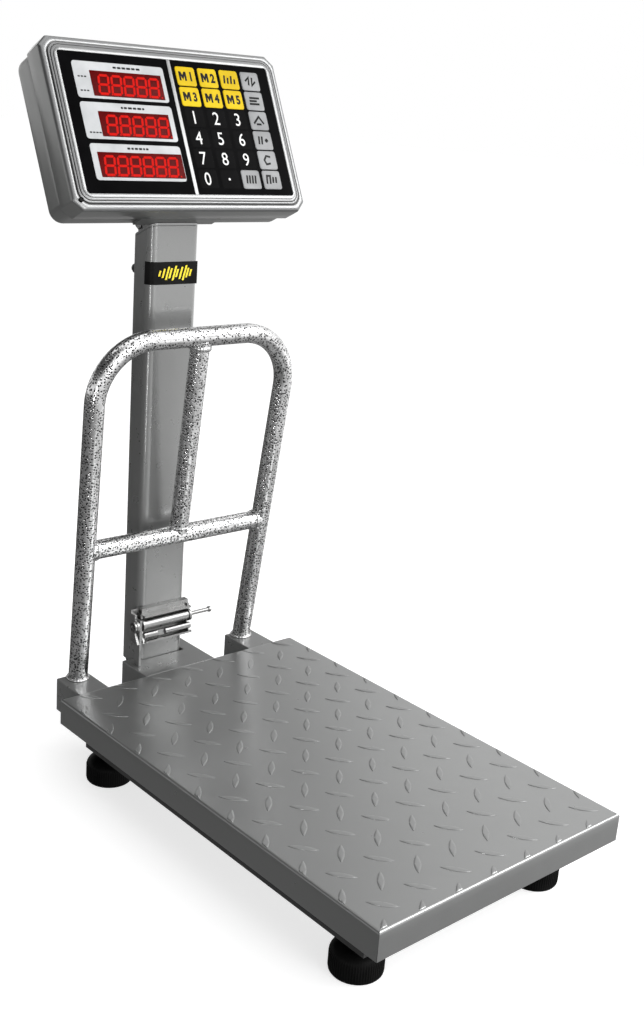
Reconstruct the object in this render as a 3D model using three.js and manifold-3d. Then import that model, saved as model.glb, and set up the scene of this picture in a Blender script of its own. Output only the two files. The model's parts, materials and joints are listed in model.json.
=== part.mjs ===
// Platform shipping scale: a tread-plate platform on a tubular frame and a load cell, a tubular goods
// rail, a latched folding column, and a tilting indicator head with three displays and a keypad.
// Millimetres, +Z up, +X to the right, the platform's front edge towards -Y.
import * as THREE from "three";
import { mergeVertices } from "three/addons/utils/BufferGeometryUtils.js";
import Module from "manifold-3d";

const wasm = await Module();
wasm.setup();

// ---------------------------------------------------------------- driving dimensions
const GAP = 0.3; // clearance between pieces that touch
const ORIGIN_SHIFT = 61.4; // the frame's origin lies this far behind the platform's middle
const FLOOR = -2.5; // the floor's level in the drawing below

const cover = { halfWidth: 150, halfLength: 233, top: 82, sheet: 2, skirt: 27.5 };
const foot = { radius: 23.6, padTop: 24, studRadius: 4, studTop: 38, x: 112, front: -175, rear: 199 };
const baseTube = { width: 30, bottom: 26.8, top: 41, wall: 2 };
const upperTube = { width: 35, bottom: 44, top: 80 - GAP, wall: 2, x: 109.5, front: -213, rear: 280.5 };
const cell = { halfWidth: 19, halfLength: 75, bottom: 45, top: 70, padLength: 40, boreRadius: 8 };
const rail = {
  radius: 10, bore: 8.5, footX: 107.5, topX: 115.5, footY: 270.5, lean: THREE.MathUtils.degToRad(7.4),
  height: 365, bend: 60, crossbar: 148, middleX: 1.2, sway: 0.01,
};
const column = { width: 60, depth: 34, corner: 9, wall: 2, x: -1.5, y: 291, bottom: 74, top: 600, glandZ: 497 };
const pivot = { y: 300, z: 56, boltRadius: 5, boltBore: 5.3, knuckle: 11, knuckleHalf: 15.5, cheek: 13.2 };
const seat = { halfWidth: 45, front: 236, leftBack: 283, rightBack: 310, top: 79, wall: 2 };
const latch = { left: -41.25, right: 29, front: 257.5, back: 273.7, bottom: 106, top: 142, z: 125, y: 264.5 };
latch.slotLeft = -38.5;
latch.slotRight = -33.5;
latch.boss = 2.5;
const latchRod = { radius: 2.2, left: -40.8, right: 58.5, collar: 4.2, barrel: 5.6, bore: 4.7 };
const tilt = { y: 306, z: 542, boltRadius: 3, boltBore: 3.3, lug: 9, barrelHalf: 15.5, plate: 2.5, capTop: -82.1 };
const head = {
  y: 273.5, z: 637.8, angle: THREE.MathUtils.degToRad(25.6), width: 275, height: 166, chamfer: 9.5,
  rim: -3, split: -26, back: -56, wall: 2.5, rearWidth: 271, rearHeight: 158,
};
const panel = { width: 243.6, height: 136.2, thickness: 6 };
const key = { width: 23, height: 19.4, pitchX: 26.6, pitchY: 20.7, firstX: 18, firstY: 51.9, corner: 2.5 };
key.proud = 0.6;
key.depth = 2.2;
const windows = [
  { name: "upper", x: -52.2, y: 38.2, width: 79.5, height: 24.6 },
  { name: "middle", x: -52.8, y: -0.8, width: 79.5, height: 24.6 },
  { name: "lower", x: -55.6, y: -40.1, width: 94.3, height: 24.6 },
];

// ---------------------------------------------------------------- materials
const paint = (color, roughness, metalness) =>
  new THREE.MeshStandardMaterial({ color, roughness, metalness });
const materials = {
  silver: paint(0x8d908f, 0.35, 0.6),
  darkSteel: paint(0x4a4b4b, 0.5, 0.6),
  chrome: paint(0xd8d8d8, 0.2, 1),
  zinc: paint(0xb5b5b2, 0.4, 0.9),
  rubber: paint(0x0c0c0c, 0.8, 0),
  black: paint(0x121212, 0.4, 0),
  overlay: paint(0x0a0a0b, 0.3, 0),
  red: paint(0x6a0508, 0.15, 0),
  yellow: paint(0xf2cf1e, 0.4, 0),
  grey: paint(0x9a9c9e, 0.4, 0),
  aluminium: paint(0xc4c6c8, 0.4, 1),
  board: paint(0x1d5a34, 0.5, 0),
};

// ---------------------------------------------------------------- shape helpers
// A three.js geometry as a closed solid that can be joined and cut.
function solidOf(geometry) {
  const bare = geometry.index ? geometry.toNonIndexed() : geometry.clone();
  bare.deleteAttribute("normal");
  bare.deleteAttribute("uv");
  const merged = mergeVertices(bare, 1e-4);
  return new wasm.Manifold(
    new wasm.Mesh({
      numProp: 3,
      vertProperties: merged.attributes.position.array,
      triVerts: new Uint32Array(merged.index.array),
    }),
  );
}

function geometryOf(solid) {
  const { vertProperties, triVerts } = solid.getMesh();
  const geometry = new THREE.BufferGeometry();
  geometry.setAttribute("position", new THREE.BufferAttribute(vertProperties, 3));
  geometry.setIndex(new THREE.BufferAttribute(triVerts, 1));
  geometry.computeVertexNormals();
  return geometry;
}

function box(x0, x1, y0, y1, z0, z1) {
  const geometry = new THREE.BoxGeometry(x1 - x0, y1 - y0, z1 - z0);
  return solidOf(geometry.translate((x0 + x1) / 2, (y0 + y1) / 2, (z0 + z1) / 2));
}

// A round bar between two points.
function bar(from, to, radius, sides = 24) {
  const geometry = new THREE.CylinderGeometry(radius, radius, from.distanceTo(to), sides);
  const direction = new THREE.Vector3().subVectors(to, from).normalize();
  const turn = new THREE.Quaternion().setFromUnitVectors(new THREE.Vector3(0, 1, 0), direction);
  const middle = new THREE.Vector3().addVectors(from, to).multiplyScalar(0.5);
  return solidOf(geometry.applyQuaternion(turn).translate(middle.x, middle.y, middle.z));
}

const barAlongX = (x0, x1, y, z, radius, sides) =>
  bar(new THREE.Vector3(x0, y, z), new THREE.Vector3(x1, y, z), radius, sides);

const barAlongZ = (z0, z1, x, y, radius, sides) =>
  bar(new THREE.Vector3(x, y, z0), new THREE.Vector3(x, y, z1), radius, sides);

function roundedRectangle(width, height, radius) {
  const shape = new THREE.Shape();
  const x = width / 2 - radius;
  const y = height / 2 - radius;
  shape.absarc(x, y, radius, 0, Math.PI / 2);
  shape.absarc(-x, y, radius, Math.PI / 2, Math.PI);
  shape.absarc(-x, -y, radius, Math.PI, 1.5 * Math.PI);
  shape.absarc(x, -y, radius, 1.5 * Math.PI, 2 * Math.PI);
  return shape;
}

function chamferedRectangle(width, height, chamfer) {
  const x = width / 2;
  const y = height / 2;
  const shape = new THREE.Shape();
  shape.moveTo(x, y - chamfer);
  shape.lineTo(x - chamfer, y);
  shape.lineTo(chamfer - x, y);
  shape.lineTo(-x, y - chamfer);
  shape.lineTo(-x, chamfer - y);
  shape.lineTo(chamfer - x, -y);
  shape.lineTo(x - chamfer, -y);
  shape.lineTo(x, chamfer - y);
  shape.closePath();
  return shape;
}

// A flat outline raised from z0 to z1.
function raised(shape, z0, z1, curveSegments = 6) {
  const geometry = new THREE.ExtrudeGeometry(shape, { depth: z1 - z0, bevelEnabled: false, curveSegments });
  return solidOf(geometry.translate(0, 0, z0));
}

// An outline drawn in the Y-Z plane, given thickness from x0 to x1.
function plateAcross(shape, x0, x1, curveSegments = 10) {
  const geometry = new THREE.ExtrudeGeometry(shape, { depth: x1 - x0, bevelEnabled: false, curveSegments });
  const turn = new THREE.Matrix4().makeBasis(
    new THREE.Vector3(0, 1, 0),
    new THREE.Vector3(0, 0, 1),
    new THREE.Vector3(1, 0, 0),
  );
  return solidOf(geometry.applyMatrix4(turn).translate(x0, 0, 0));
}

// The head's own axes: x to the right, y up the face, z out of the face, from the panel's middle.
const headGroup = new THREE.Group();
headGroup.position.set(0, head.y, head.z);
headGroup.rotation.x = Math.PI / 2 - head.angle;

const union = (solids) => solids.reduce((sum, next) => sum.add(next));

function named(name, material, solid) {
  const geometry = solid.isBufferGeometry ? solid : geometryOf(solid);
  const mesh = new THREE.Mesh(geometry, material);
  mesh.name = name;
  return mesh;
}

// ---------------------------------------------------------------- base
// Every tube of the welded base is hollow, and one end or side of each hollow is open.
function baseFrame() {
  const { width, bottom, top, wall } = baseTube;
  const front = foot.front - 22;
  const rear = foot.rear + 22;
  const tubes = [-1, 1].map((side) =>
    box(side * foot.x - width / 2, side * foot.x + width / 2, front, rear, bottom, top),
  );
  const cores = [-1, 1].map((side) =>
    box(side * foot.x - width / 2 + wall, side * foot.x + width / 2 - wall,
      front - 1, rear - wall, bottom + wall, top - wall),
  );
  const cellCross = box(-foot.x, foot.x, -80, -30, bottom, top);
  const rearCross = box(-foot.x, foot.x, 190, 220, bottom, top);
  const tongue = box(-22, 22, 215, 312, bottom, top);
  const tongueCore = box(-20, 20, 222, 313, bottom + wall, top - wall);
  const crossCores = [
    box(-foot.x + width / 2, foot.x - width / 2, -78, -32, bottom - 1, top - wall),
    box(-foot.x + width / 2, foot.x - width / 2, 192, 218, bottom - 1, top - wall),
  ];
  let frame = union([...tubes, cellCross, rearCross, tongue]);
  for (const core of [...cores, ...crossCores, tongueCore]) frame = frame.subtract(core);
  for (const side of [-1, 1]) {
    for (const y of [foot.front, foot.rear]) {
      frame = frame.subtract(barAlongZ(bottom - 1, bottom + wall + 1, side * foot.x, y, foot.studRadius + GAP));
    }
  }
  return frame;
}

// A rubber pad moulded on its threaded stud.
function footSolid(x, y) {
  const { radius, padTop, studRadius, studTop } = foot;
  const profile = [
    [0, FLOOR], [radius - 2.5, FLOOR], [radius, FLOOR + 2.5], [radius, padTop - 11], [radius - 1.2, padTop - 6],
    [radius - 5, padTop - 2], [radius - 10, padTop], [studRadius, padTop], [studRadius, studTop], [0, studTop],
  ];
  const lathe = new THREE.LatheGeometry(profile.map(([r, z]) => new THREE.Vector2(r, z)), 20);
  return solidOf(lathe.rotateX(Math.PI / 2).translate(x, y, 0));
}

// A bending-beam load cell with its two joined strain-gauge bores.
function loadCell() {
  const middle = (cell.bottom + cell.top) / 2;
  const body = box(-cell.halfWidth, cell.halfWidth, -cell.halfLength, cell.halfLength, cell.bottom, cell.top);
  const bores = [-14, 14].map((y) => barAlongX(-25, 25, y, middle, cell.boreRadius, 16));
  const slot = box(-25, 25, -14, 14, middle - 3, middle + 3);
  return body.subtract(union([...bores, slot]));
}

const cellPad = (y, z0, z1) =>
  box(-cell.halfWidth, cell.halfWidth, y - cell.padLength / 2, y + cell.padLength / 2, z0, z1);

// Two long tubes whose rear ends stand out behind the cover and carry the rail.
function upperFrame() {
  const { width, bottom, top, wall, x, front, rear } = upperTube;
  const inner = x - width / 2;
  const outer = x + width / 2;
  const solids = [-1, 1].map((side) =>
    box(Math.min(side * inner, side * outer), Math.max(side * inner, side * outer), front, rear, bottom, top),
  );
  solids.push(box(-x, x, front, front + width, bottom, top));
  solids.push(box(-x, x, 195, 230, bottom, top));
  solids.push(box(-x, x, 30, 80, top - 6, top));
  let frame = union(solids);
  for (const side of [-1, 1]) {
    frame = frame.subtract(
      box(side * x - width / 2 + wall, side * x + width / 2 - wall,
        front - 1, rear - wall, bottom + wall, top - wall),
    );
  }
  const hollows = [
    box(-inner, inner, front + wall, front + width - wall, bottom - 1, top - wall),
    box(-inner, inner, 195 + wall, 230 - wall, bottom - 1, top - wall),
  ];
  return frame.subtract(union(hollows));
}

// The pressed cover lifts straight up, so its rear skirt is notched round the two tubes.
function coverPlate() {
  const { halfWidth, halfLength, top, sheet, skirt } = cover;
  const pan = box(-halfWidth, halfWidth, -halfLength, halfLength, top - skirt, top);
  const inside = box(-halfWidth + sheet, halfWidth - sheet, -halfLength + sheet, halfLength - sheet,
    top - skirt - 1, top - sheet);
  const notchHalf = upperTube.width / 2 + 1.5;
  const notches = [-1, 1].map((side) =>
    box(side * upperTube.x - notchHalf, side * upperTube.x + notchHalf,
      halfLength - sheet - 1, halfLength + 1, top - skirt - 1, top - sheet),
  );
  return pan.subtract(inside).subtract(union(notches));
}

// ---------------------------------------------------------------- goods rail
// A place on the leaning plane of the rail, from its distance across and its distance up the plane.
const onRail = (x, up) =>
  new THREE.Vector3(
    x - up * rail.sway,
    rail.footY - up * Math.sin(rail.lean),
    upperTube.top + GAP + up * Math.cos(rail.lean),
  );

class RailBend extends THREE.Curve {
  constructor(side) {
    super();
    this.side = side;
  }
  getPoint(t) {
    const angle = this.side < 0 ? Math.PI * (1 - t / 2) : Math.PI * (0.5 - t / 2);
    const x = this.side * (rail.topX - rail.bend) + rail.bend * Math.cos(angle);
    return onRail(x, rail.height - rail.bend + rail.bend * Math.sin(angle));
  }
}

function railHoop() {
  const path = new THREE.CurvePath();
  const bendX = rail.topX - rail.bend;
  path.add(new THREE.LineCurve3(onRail(-rail.footX, 0), onRail(-rail.topX, rail.height - rail.bend)));
  path.add(new RailBend(-1));
  path.add(new THREE.LineCurve3(onRail(-bendX, rail.height), onRail(bendX, rail.height)));
  path.add(new RailBend(1));
  path.add(new THREE.LineCurve3(onRail(rail.topX, rail.height - rail.bend), onRail(rail.footX, 0)));
  const section = new THREE.Shape().absarc(0, 0, rail.radius, 0, 2 * Math.PI);
  section.holes.push(new THREE.Path().absarc(0, 0, rail.bore, 0, 2 * Math.PI));
  const tube = new THREE.ExtrudeGeometry(section, { steps: 36, curveSegments: 6, extrudePath: path });
  return solidOf(tube).subtract(box(-130, 130, 230, 300, 0, upperTube.top + GAP));
}

// The place where a level of the rail meets the middle of a leg.
const legX = (up) => rail.footX + ((rail.topX - rail.footX) * up) / (rail.height - rail.bend);

function railCrossbar() {
  const { radius, bore, crossbar, height, bend, footX, topX } = rail;
  const reach = legX(crossbar);
  const tube = bar(onRail(-reach, crossbar), onRail(reach, crossbar), radius, 16);
  const hollow = bar(onRail(-reach - 9, crossbar), onRail(reach + 9, crossbar), bore, 16);
  const legs = [-1, 1].map((side) =>
    bar(onRail(side * footX, 0), onRail(side * topX, height - bend), radius + GAP, 16),
  );
  return tube.subtract(hollow).subtract(union(legs));
}

function railMiddleBar() {
  const { radius, bore, crossbar, height, middleX } = rail;
  const tube = bar(onRail(middleX, crossbar), onRail(middleX, height), radius, 16);
  const hollow = bar(onRail(middleX, crossbar - 9), onRail(middleX, height + 9), bore, 16);
  const crossing = [crossbar, height].map((up) => bar(onRail(-40, up), onRail(40, up), radius + GAP, 16));
  return tube.subtract(hollow).subtract(union(crossing));
}

// ---------------------------------------------------------------- column seat and hinge
// A folded steel box behind the platform, open below and behind, with a bay for the column.
function columnSeat() {
  const { halfWidth, front, leftBack, rightBack, top, wall } = seat;
  const floor = baseTube.top + GAP;
  const bayLeft = column.x - column.width / 2 - 0.6;
  const bayRight = column.x + column.width / 2 + 0.6;
  const outer = union([
    box(-halfWidth, halfWidth, front, leftBack, floor, top),
    box(bayRight - wall, halfWidth, front, rightBack, floor, top),
  ]);
  const inside = union([
    box(-halfWidth + wall, halfWidth - wall, front + wall, leftBack - wall, floor - 1, top - wall),
    box(bayRight, halfWidth - wall, front + wall, rightBack - wall, floor - 1, top - wall),
    box(bayLeft, bayRight, column.y - column.depth / 2 - 0.6, rightBack + 1, floor - 1, top + 1),
  ]);
  return outer.subtract(inside);
}

function hingeBracket() {
  const floor = baseTube.top + GAP;
  const front = 284;
  const back = 312;
  const cheek = new THREE.Shape();
  cheek.moveTo(front, floor);
  cheek.lineTo(back, floor);
  cheek.lineTo(back, floor + 4);
  cheek.absarc(pivot.y, pivot.z, pivot.cheek, 0, Math.PI);
  cheek.lineTo(front, floor + 4);
  cheek.closePath();
  const inner = pivot.knuckleHalf + 0.5;
  const outer = inner + 4;
  const solids = [plateAcross(cheek, inner, outer), plateAcross(cheek, -outer, -inner)];
  solids.push(box(-outer, outer, front, back, floor, floor + 3));
  return union(solids).subtract(barAlongX(-40, 40, pivot.y, pivot.z, pivot.boltBore, 20));
}

// The shank crosses both cheeks, with a head at one end and a nut at the other.
function pivotBolt() {
  const { y, z, boltRadius } = pivot;
  return union([
    barAlongX(-24, 24, y, z, boltRadius, 20),
    barAlongX(-25.5, -20 - GAP, y, z, 8, 6),
    barAlongX(20 + GAP, 25.5, y, z, 8, 6),
  ]);
}

// ---------------------------------------------------------------- column
// The space on and above a plane that is parallel to the underside of the head.
function aboveHeadPlane(level) {
  const geometry = new THREE.BoxGeometry(400, 200, 400).translate(0, level + 100, 0);
  headGroup.updateMatrix();
  return solidOf(geometry.applyMatrix4(headGroup.matrix));
}

// The tube's upper end is cut to the slope of the head's underside.
function columnTube() {
  const { width, depth, corner, wall, y, bottom, top } = column;
  const section = roundedRectangle(width, depth, corner);
  section.holes.push(roundedRectangle(width - 2 * wall, depth - 2 * wall, corner - wall));
  const tube = raised(section, bottom, top, 4).translate([0, y, 0]);
  return tube.subtract(aboveHeadPlane(tilt.capTop - tilt.plate - GAP));
}

// A plug in the column's lower end, with the knuckle that turns on the pivot bolt.
function columnFoot() {
  const plugWidth = column.width - 2 * column.wall - 2 * GAP;
  const plugDepth = column.depth - 2 * column.wall - 2 * GAP;
  const plug = raised(roundedRectangle(plugWidth, plugDepth, 8), column.bottom - 4, 124).translate([0, column.y, 0]);
  const half = pivot.knuckleHalf;
  const knuckle = union([
    box(-half, half, pivot.y - 9, pivot.y + 6, pivot.z, column.bottom - 3),
    barAlongX(-half, half, pivot.y, pivot.z, pivot.knuckle, 24),
  ]);
  return plug.add(knuckle).subtract(barAlongX(-40, 40, pivot.y, pivot.z, pivot.boltBore, 20));
}

// The cap closes the column and carries the two lugs of the head's tilting hinge.
function columnCap() {
  const { width, depth, corner, y, top } = column;
  const lug = new THREE.Shape();
  lug.moveTo(tilt.y - tilt.lug, tilt.z - 12);
  lug.lineTo(y + depth / 2, tilt.z - 16);
  lug.absarc(tilt.y, tilt.z, tilt.lug, 0, Math.PI);
  lug.closePath();
  const plate = raised(roundedRectangle(width, depth, corner), 0, top, 4)
    .translate([0, y, 0])
    .subtract(aboveHeadPlane(tilt.capTop));
  const lugs = [plateAcross(lug, 16, 20, 8), plateAcross(lug, -20, -16, 8)];
  return union([plate, ...lugs])
    .intersect(aboveHeadPlane(tilt.capTop - tilt.plate))
    .subtract(barAlongX(-40, 40, tilt.y, tilt.z, tilt.boltBore, 12));
}

function cableGland() {
  const back = column.y + column.depth / 2 + GAP;
  const gland = new THREE.LatheGeometry(
    [[0, 0], [6, 0], [6, 3], [4.5, 5], [4.5, 8], [0, 8]].map(([r, z]) => new THREE.Vector2(r, z)), 20,
  );
  return solidOf(gland.translate(-20, back, column.glandZ));
}

// ---------------------------------------------------------------- column latch
const rodHole = (radius) => barAlongX(-60, 80, latch.y, latch.z, radius, 12);

function latchHousing() {
  const { left, right, slotRight, front, back, bottom, top } = latch;
  const inner = slotRight + 2.5;
  const ear = new THREE.Shape();
  ear.moveTo(back, bottom);
  ear.lineTo(back, top - 4);
  ear.lineTo(latch.y, top - 4);
  ear.absarc(latch.y, latch.z, latch.y - front, Math.PI / 2, 1.5 * Math.PI);
  ear.lineTo(front + 1, bottom);
  ear.closePath();
  return union([
    box(left, right, back - 2, back, bottom, top),
    box(inner, right, back - 7, back, top - 2, top),
    box(inner, right, back - 7, back - 5, top - 8, top),
    box(inner, right, front + 3, back - 5, top - 8, top - 6),
    box(inner, right, front, back, bottom, bottom + 2),
    barAlongX(inner, right, front + 5, bottom + 7, 3.5, 12),
    barAlongX(inner, right, latch.y, latch.z, latchRod.barrel, 16),
    plateAcross(ear, left, latch.slotLeft, 5),
    barAlongX(left - latch.boss, left + 1, latch.y, latch.z, 6.3, 20),
    plateAcross(ear, slotRight, inner, 5),
    plateAcross(ear, right - 2.5, right, 5),
  ])
    .subtract(barAlongX(inner, right - 2.5, latch.y, latch.z, latchRod.bore, 16))
    .subtract(barAlongX(left - latch.boss - 1, left - 0.4, latch.y, latch.z, latchRod.bore, 16))
    .subtract(box(-14, -4, front - 1, front + 4.2, bottom + 2.6, bottom + 12))
    .subtract(rodHole(latchRod.radius + GAP));
}

// The bolt enters the keeper at its left end and is pulled out by the rod at its right end.
const latchBolt = () =>
  union([
    barAlongX(latchRod.left, latchRod.right, latch.y, latch.z, latchRod.radius, 12),
    barAlongX(-26, -22, latch.y, latch.z, latchRod.collar, 12),
    barAlongX(latchRod.right - 3, latchRod.right, latch.y, latch.z, 3.2, 16),
  ]);

class SpringHelix extends THREE.Curve {
  getPoint(t) {
    const angle = 2 * Math.PI * 8 * t;
    return new THREE.Vector3(-9 + 34 * t, latch.y + 3.5 * Math.cos(angle), latch.z + 3.5 * Math.sin(angle));
  }
}

function latchSpring() {
  const wire = new THREE.Shape().absarc(0, 0, 0.5, 0, 2 * Math.PI);
  return new THREE.ExtrudeGeometry(wire, { steps: 64, curveSegments: 3, extrudePath: new SpringHelix() });
}

const keeperPlate = () =>
  box(-37.5, -34.5, 260, 269, seat.top + GAP, 132).subtract(rodHole(latchRod.radius + 0.6));

// ---------------------------------------------------------------- indicator head

function frontShell() {
  const { width, height, chamfer, rim, split, wall } = head;
  const ring = (inset, z0, z1) =>
    raised(chamferedRectangle(width - 2 * inset, height - 2 * inset, chamfer - inset / 2), z0, z1);
  const body = union([ring(0, split, rim), ring(3.5, rim - 1, rim + 1.5), ring(8, rim - 1, rim + 3.5)]);
  const cavity = raised(chamferedRectangle(width - 2 * wall, height - 2 * wall, chamfer), split - 1, rim - 3);
  const opening = raised(roundedRectangle(panel.width + 2 * GAP, panel.height + 2 * GAP, 1), split - 1, 9, 1);
  return body.subtract(cavity).subtract(opening);
}

const switchPlace = { x: 90, y: -50, length: 20.4, width: 13.4 };

function rearShell() {
  const { rearWidth, rearHeight, split, back, wall } = head;
  const bevel = 7;
  const outline = roundedRectangle(rearWidth - 2 * bevel, rearHeight - 2 * bevel, 8);
  const rounded = new THREE.ExtrudeGeometry(outline, {
    depth: 34, bevelThickness: bevel, bevelSize: bevel, bevelSegments: 2, curveSegments: 3,
  });
  const tray = solidOf(rounded.translate(0, 0, back + bevel))
    .subtract(box(-200, 200, -200, 200, split - GAP, 50));
  const inner = 2 * (wall + 3);
  const cavity = raised(roundedRectangle(rearWidth - inner, rearHeight - inner, 12), back + wall, 50, 3);
  const { x, y, length, width } = switchPlace;
  const switchHole = box(x - length / 2 - 0.8, x + length / 2 + 0.8, y - width / 2 - 0.6, y + width / 2 + 0.6,
    back - 1, back + wall + 1);
  return tray.subtract(cavity).subtract(switchHole);
}

// The rocker stands in the back wall with one end pressed in.
function powerSwitch() {
  const { x, y, length, width } = switchPlace;
  const half = length / 2;
  const rocker = new THREE.Shape();
  rocker.moveTo(-half, 1);
  rocker.lineTo(-half, -0.4);
  rocker.quadraticCurveTo(0, -3.4, half, -0.4);
  rocker.lineTo(half, 1);
  rocker.lineTo(0, 5);
  rocker.closePath();
  const turn = new THREE.Matrix4().makeRotationZ(THREE.MathUtils.degToRad(-7));
  const geometry = new THREE.ExtrudeGeometry(rocker, { depth: width, bevelEnabled: false, curveSegments: 8 });
  return geometry.applyMatrix4(turn).rotateX(Math.PI / 2).translate(x, y + width / 2, head.back + 1.6);
}

const keyNames = [
  ["memory_1", "memory_2", "total", "function_1"],
  ["memory_3", "memory_4", "memory_5", "function_2"],
  ["digit_1", "digit_2", "digit_3", "function_3"],
  ["digit_4", "digit_5", "digit_6", "function_4"],
  ["digit_7", "digit_8", "digit_9", "clear"],
  ["digit_0", "point", "function_5", "function_6"],
];

function keyMaterial(row, column_) {
  if (column_ === 3 || (row === 5 && column_ === 2)) return materials.grey;
  return row < 2 ? materials.yellow : materials.black;
}

const keyPlace = (row, column_) => ({
  x: key.firstX + column_ * key.pitchX,
  y: key.firstY - row * key.pitchY,
});

// The faceplate has a pocket under each key and a through opening behind each display window.
function facePanel() {
  let plate = raised(roundedRectangle(panel.width, panel.height, 1), -panel.thickness, 0, 1);
  const pockets = [];
  keyNames.forEach((names, row) =>
    names.forEach((_, column_) => {
      const { x, y } = keyPlace(row, column_);
      const outline = roundedRectangle(key.width + 2 * GAP, key.height + 2 * GAP, key.corner + GAP);
      pockets.push(raised(outline, -key.depth - 1.2, 2, 1).translate([x, y, 0]));
    }),
  );
  for (const { x, y, width, height } of windows) {
    const seatOutline = roundedRectangle(width + 2 * GAP, height + 2 * GAP, 0.5);
    pockets.push(raised(seatOutline, -2 - GAP, 2, 1).translate([x, y, 0]));
    pockets.push(raised(roundedRectangle(width - 6, height - 5, 0.5), -9, 2, 1).translate([x, y, 0]));
  }
  for (const pocket of pockets) plate = plate.subtract(pocket);
  return plate;
}

function keyCap(row, column_) {
  const { x, y } = keyPlace(row, column_);
  return raised(roundedRectangle(key.width, key.height, key.corner), -key.depth, key.proud, 1).translate([x, y, 0]);
}

const displayWindow = ({ x, y, width, height }) =>
  raised(roundedRectangle(width, height, 0.5), -2, 0.2, 1).translate([x, y, 0]);

// An angle under the head's rear edge, with the barrel that turns between the column's lugs.
const barrelPlace = (() => {
  const y = tilt.y - head.y;
  const z = tilt.z - head.z;
  const cosine = Math.cos(head.angle);
  const sine = Math.sin(head.angle);
  return { y: y * sine + z * cosine, z: -y * cosine + z * sine };
})();

function headBracket() {
  const back = head.back - GAP;
  const under = -head.rearHeight / 2 - GAP;
  const { plate, barrelHalf } = tilt;
  const arm = new THREE.Shape();
  arm.moveTo(barrelPlace.y - 8, back - 1);
  arm.lineTo(barrelPlace.y - 8, barrelPlace.z);
  arm.absarc(barrelPlace.y, barrelPlace.z, 8, Math.PI, 2 * Math.PI);
  arm.lineTo(barrelPlace.y + 14, back - 1);
  arm.closePath();
  return union([
    box(-47.5, 47.5, under - plate, under, back + 10, -30),
    box(-28, 28, under - plate, under, back - plate, back + 11),
    box(-28, 28, under - plate, -42, back - plate, back),
    plateAcross(arm, -barrelHalf, barrelHalf, 8),
  ]).subtract(barAlongX(-30, 30, barrelPlace.y, barrelPlace.z, tilt.boltBore, 12));
}

const tiltBolt = () =>
  union([
    barAlongX(-24, 30, tilt.y, tilt.z, tilt.boltRadius, 16),
    barAlongX(-24.5, -20 - GAP, tilt.y, tilt.z, 5.5, 6),
  ]);

// A five-lobed clamping knob on the right end of the tilt bolt.
function tiltKnob() {
  const outline = new THREE.Shape();
  const lobes = 5;
  const steps = 30;
  for (let i = 0; i < steps; i++) {
    const angle = (2 * Math.PI * i) / steps;
    const radius = 7.6 + 1.2 * Math.cos(lobes * angle);
    const point = [tilt.y + radius * Math.cos(angle), tilt.z + radius * Math.sin(angle)];
    if (i === 0) outline.moveTo(...point);
    else outline.lineTo(...point);
  }
  outline.closePath();
  return plateAcross(outline, 20.6, 34).subtract(barAlongX(18, 31, tilt.y, tilt.z, tilt.boltBore, 16));
}

const mainBoard = () => box(-112, 112, -60, 60, -11.5, -9.9);
const battery = () => box(-105, -15, -62, -8, -47, -14);

// ---------------------------------------------------------------- assembly
const bracketGroup = new THREE.Group();
bracketGroup.position.x = column.x;
bracketGroup.add(named("head_bracket", materials.silver, headBracket()));

headGroup.add(
  bracketGroup,
  named("front_shell", materials.silver, frontShell()),
  named("rear_shell", materials.silver, rearShell()),
  named("face_panel", materials.overlay, facePanel()),
  named("main_board", materials.board, mainBoard()),
  named("battery", materials.black, battery()),
  named("power_switch", materials.black, powerSwitch()),
  ...windows.map((place) => named(`display_window_${place.name}`, materials.red, displayWindow(place))),
  ...keyNames.flatMap((names, row) =>
    names.map((name, column_) => named(`key_${name}`, keyMaterial(row, column_), keyCap(row, column_))),
  ),
);

const baseGroup = new THREE.Group();
baseGroup.add(
  named("base_frame", materials.darkSteel, baseFrame()),
  named("load_cell", materials.aluminium, loadCell()),
  named("load_cell_spacer_lower", materials.zinc, cellPad(-55, baseTube.top + GAP, cell.bottom - GAP)),
  named("load_cell_spacer_upper", materials.zinc, cellPad(55, cell.top + GAP, upperTube.top - 6 - GAP)),
  named("upper_frame", materials.silver, upperFrame()),
  named("cover_plate", materials.silver, coverPlate()),
  named("rail_hoop", materials.chrome, railHoop()),
  named("rail_crossbar", materials.chrome, railCrossbar()),
  named("rail_middle_bar", materials.chrome, railMiddleBar()),
  named("column_seat", materials.silver, columnSeat()),
  named("foot_front_left", materials.rubber, footSolid(-foot.x, foot.front)),
  named("foot_front_right", materials.rubber, footSolid(foot.x, foot.front)),
  named("foot_rear_left", materials.rubber, footSolid(-foot.x, foot.rear)),
  named("foot_rear_right", materials.rubber, footSolid(foot.x, foot.rear)),
);

// Everything on the column's own middle line, which lies a little to the left.
const columnGroup = new THREE.Group();
columnGroup.position.x = column.x;
columnGroup.add(
  named("hinge_bracket", materials.darkSteel, hingeBracket()),
  named("pivot_bolt", materials.zinc, pivotBolt()),
  named("keeper_plate", materials.zinc, keeperPlate()),
  named("column_tube", materials.silver, columnTube()),
  named("column_foot", materials.darkSteel, columnFoot()),
  named("column_cap", materials.darkSteel, columnCap()),
  named("cable_gland", materials.rubber, cableGland()),
  named("latch_housing", materials.zinc, latchHousing()),
  named("latch_bolt", materials.zinc, latchBolt()),
  named("latch_spring", materials.zinc, latchSpring()),
  named("tilt_bolt", materials.zinc, tiltBolt()),
  named("tilt_knob", materials.black, tiltKnob()),
);

const scale = new THREE.Group();
scale.add(baseGroup, columnGroup, headGroup);
scale.position.set(0, -ORIGIN_SHIFT, -FLOOR);

export default scale;
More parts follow.
